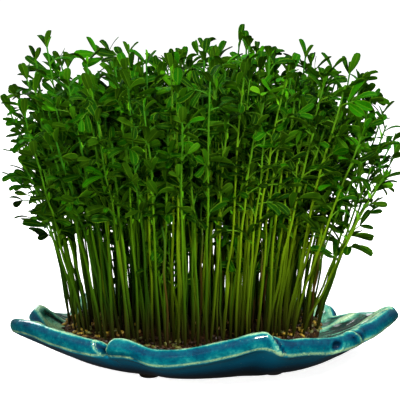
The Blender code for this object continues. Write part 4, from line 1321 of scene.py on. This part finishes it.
def model_seeds(forms, materials):
    """The loose lentils, and a litter of seeds and empty husks over the mat, thickest at its edge."""
    for number, degrees in enumerate(LOOSE_SEEDS):
        rng = random.Random(40 + number)
        growth = Growth()
        middle = mat_place(degrees, 0.93) + Vector((0, 0, GAP + SEED_HALF_THICKNESS))
        add_seed(growth, forms["lentil"], middle, rng)
        piece = growth.piece(f"loose_lentil_{number + 1}", materials)
        hand_over(piece, "seeds", f"seed_{number + 1:02d}")
    rng = random.Random(9)
    for part in range(QUARTERS):
        growth = Growth()
        for _ in range(HUSKS_IN_QUARTER):
            degrees = 90 * part + rng.uniform(0, 90)
            if math.sin(math.radians(degrees)) < -0.35 and rng.random() < 0.9:
                continue
            share = min(1.0, 0.72 + abs(rng.gauss(0, 0.16)))
            middle = mat_place(degrees, share) + Vector((0, 0, rng.uniform(0.0, 1.4) * MM))
            form = forms["lentil" if rng.random() < 0.5 else "husk"]
            add_seed(growth, form, middle, rng, rng.uniform(1.6, 2.4) * MM)
        piece = growth.piece(f"seed_litter_{part + 1}", materials)
        hand_over(piece, "seeds")


def model_threads():
    """Roots that lie over the mat's side and along its edge."""
    form = model_tube("root_thread", 4, 7)
    finish = thread_material()
    rng = random.Random(17)
    for part in range(QUARTERS):
        growth = Growth()
        for _ in range(THREADS_IN_QUARTER):
            degrees = 90 * part + rng.uniform(0, 90)
            turn = rng.uniform(-7, 7)
            first = mat_place(degrees, rng.uniform(0.9, 1.0)) + Vector((0, 0, rng.uniform(-1, 1) * MM))
            last = mat_place(degrees + turn, rng.uniform(0.93, 1.0)) + Vector((0, 0, rng.uniform(-3.5, 0.5) * MM))
            bend = first.lerp(last, 0.5) + Vector((0, 0, rng.uniform(0, 2) * MM))
            path = wandered(path_through(first, bend, last), rng, 0.5 * MM)
            add_tube(growth, form, path, 0.3 * MM, 0.15 * MM, (0, 0), (1, 1), 0)
        piece = growth.piece(f"root_threads_{part + 1}", [finish])
        hand_over(piece, "roots")


# ---- the studio ----


def set_floor():
    """A white paper floor that curves up into a white backdrop all round, 10 m away."""
    floor = drawn_out("studio_floor", 64, [(8, 8, 0), (9.5, 9.5, 0.8), (10, 10, 2.5), (9, 9, 6.5), (4, 4, 9)])
    made, _, shader = new_material("white_paper_sweep", Roughness=0.9)
    shader.inputs["Base Color"].default_value = linear("#F2F2F0")
    shader.inputs["Emission Color"].default_value = linear("#FFFFFF")
    shader.inputs["Emission Strength"].default_value = 0.88
    floor.data.materials.append(made)
    floor.visible_glossy = floor.visible_diffuse = floor.visible_shadow = False


# Softboxes: name, place, what each is aimed at, width, power, and whether the glaze mirrors it.
LIGHTS = [
    ("key", (0.5, -0.9, 0.9), (0, 0, 0.1), 0.2, 23, True),
    ("left_fill", (-0.9, -0.7, 0.6), (0, 0, 0.1), 0.7, 9, False),
    ("top", (0.1, 0.3, 1.2), (0, 0, 0.15), 0.6, 6, True),
    ("back_fill", (-0.7, 1.0, 0.8), (0, 0, 0.1), 0.7, 12, True),
    ("low_fill", (-0.3, -1.3, 0.19), (-0.02, 0, 0.03), 0.34, 10, False),
]


def add_light(name, place, aim, size, power, mirrored):
    """A square softbox."""
    light = bpy.data.lights.new(name, "AREA")
    light.size, light.energy = size, power
    lamp = bpy.data.objects.new(name, light)
    lamp.location = place
    lamp.rotation_euler = (Vector(aim) - Vector(place)).to_track_quat("-Z", "Y").to_euler()
    lamp.visible_glossy = mirrored
    bpy.context.collection.objects.link(lamp)


def set_studio():
    """A dim grey room, darker below, with five softboxes."""
    world = bpy.data.worlds.new("studio_room")
    world.use_nodes = True
    tree = world.node_tree
    height = add_node(tree, "SeparateXYZ", {0: add_node(tree, "TexCoord").outputs["Generated"]}).outputs["Z"]
    height = add_node(tree, "MapRange", {"Value": height, "From Min": -0.1, "From Max": 0.3})
    room = add_node(tree, "ValToRGB", {"Fac": height}, stops=[(0.0, "#2A2A2A"), (1.0, "#808284")])
    tree.links.new(room.outputs[0], tree.nodes["Background"].inputs["Color"])
    bpy.context.scene.world = world
    for light in LIGHTS:
        add_light(*light)
    bpy.context.scene.view_settings.view_transform = "Standard"


VIEW_HEIGHT = 106.3 * MM  # the aim, at the object's middle
VIEW_RISE = 10  # degrees above level
VIEW_DISTANCE = 0.9
VIEW_WIDTH = 258 * MM  # what the lens takes in at the aim
SENSOR_WIDTH = 36


def set_camera():
    """Straight from the front and a little above level."""
    aim = Vector((STAND.x, STAND.y, VIEW_HEIGHT))
    rise = math.radians(VIEW_RISE)
    data = bpy.data.cameras.new("camera")
    data.sensor_width = SENSOR_WIDTH
    data.lens = SENSOR_WIDTH * VIEW_DISTANCE / VIEW_WIDTH
    camera = bpy.data.objects.new("camera", data)
    camera.location = aim + VIEW_DISTANCE * Vector((0, -math.cos(rise), math.sin(rise)))
    camera.rotation_euler = (aim - camera.location).to_track_quat("-Z", "Y").to_euler()
    bpy.context.collection.objects.link(camera)
    bpy.context.scene.camera = camera


set_camera()
set_studio()
set_floor()
model_dish()
model_feet(stoneware_material())
model_mat(root_material())
sprout_materials = [leaf_material(), stem_material(), husk_material()]
small_forms = model_forms()
sprout_feet = model_cad_sprouts(small_forms, sprout_materials)
sprout_feet += model_crest(small_forms, sprout_materials)
model_bunches(small_forms, sprout_materials, sprout_feet)
model_seeds(small_forms, sprout_materials)
model_threads()
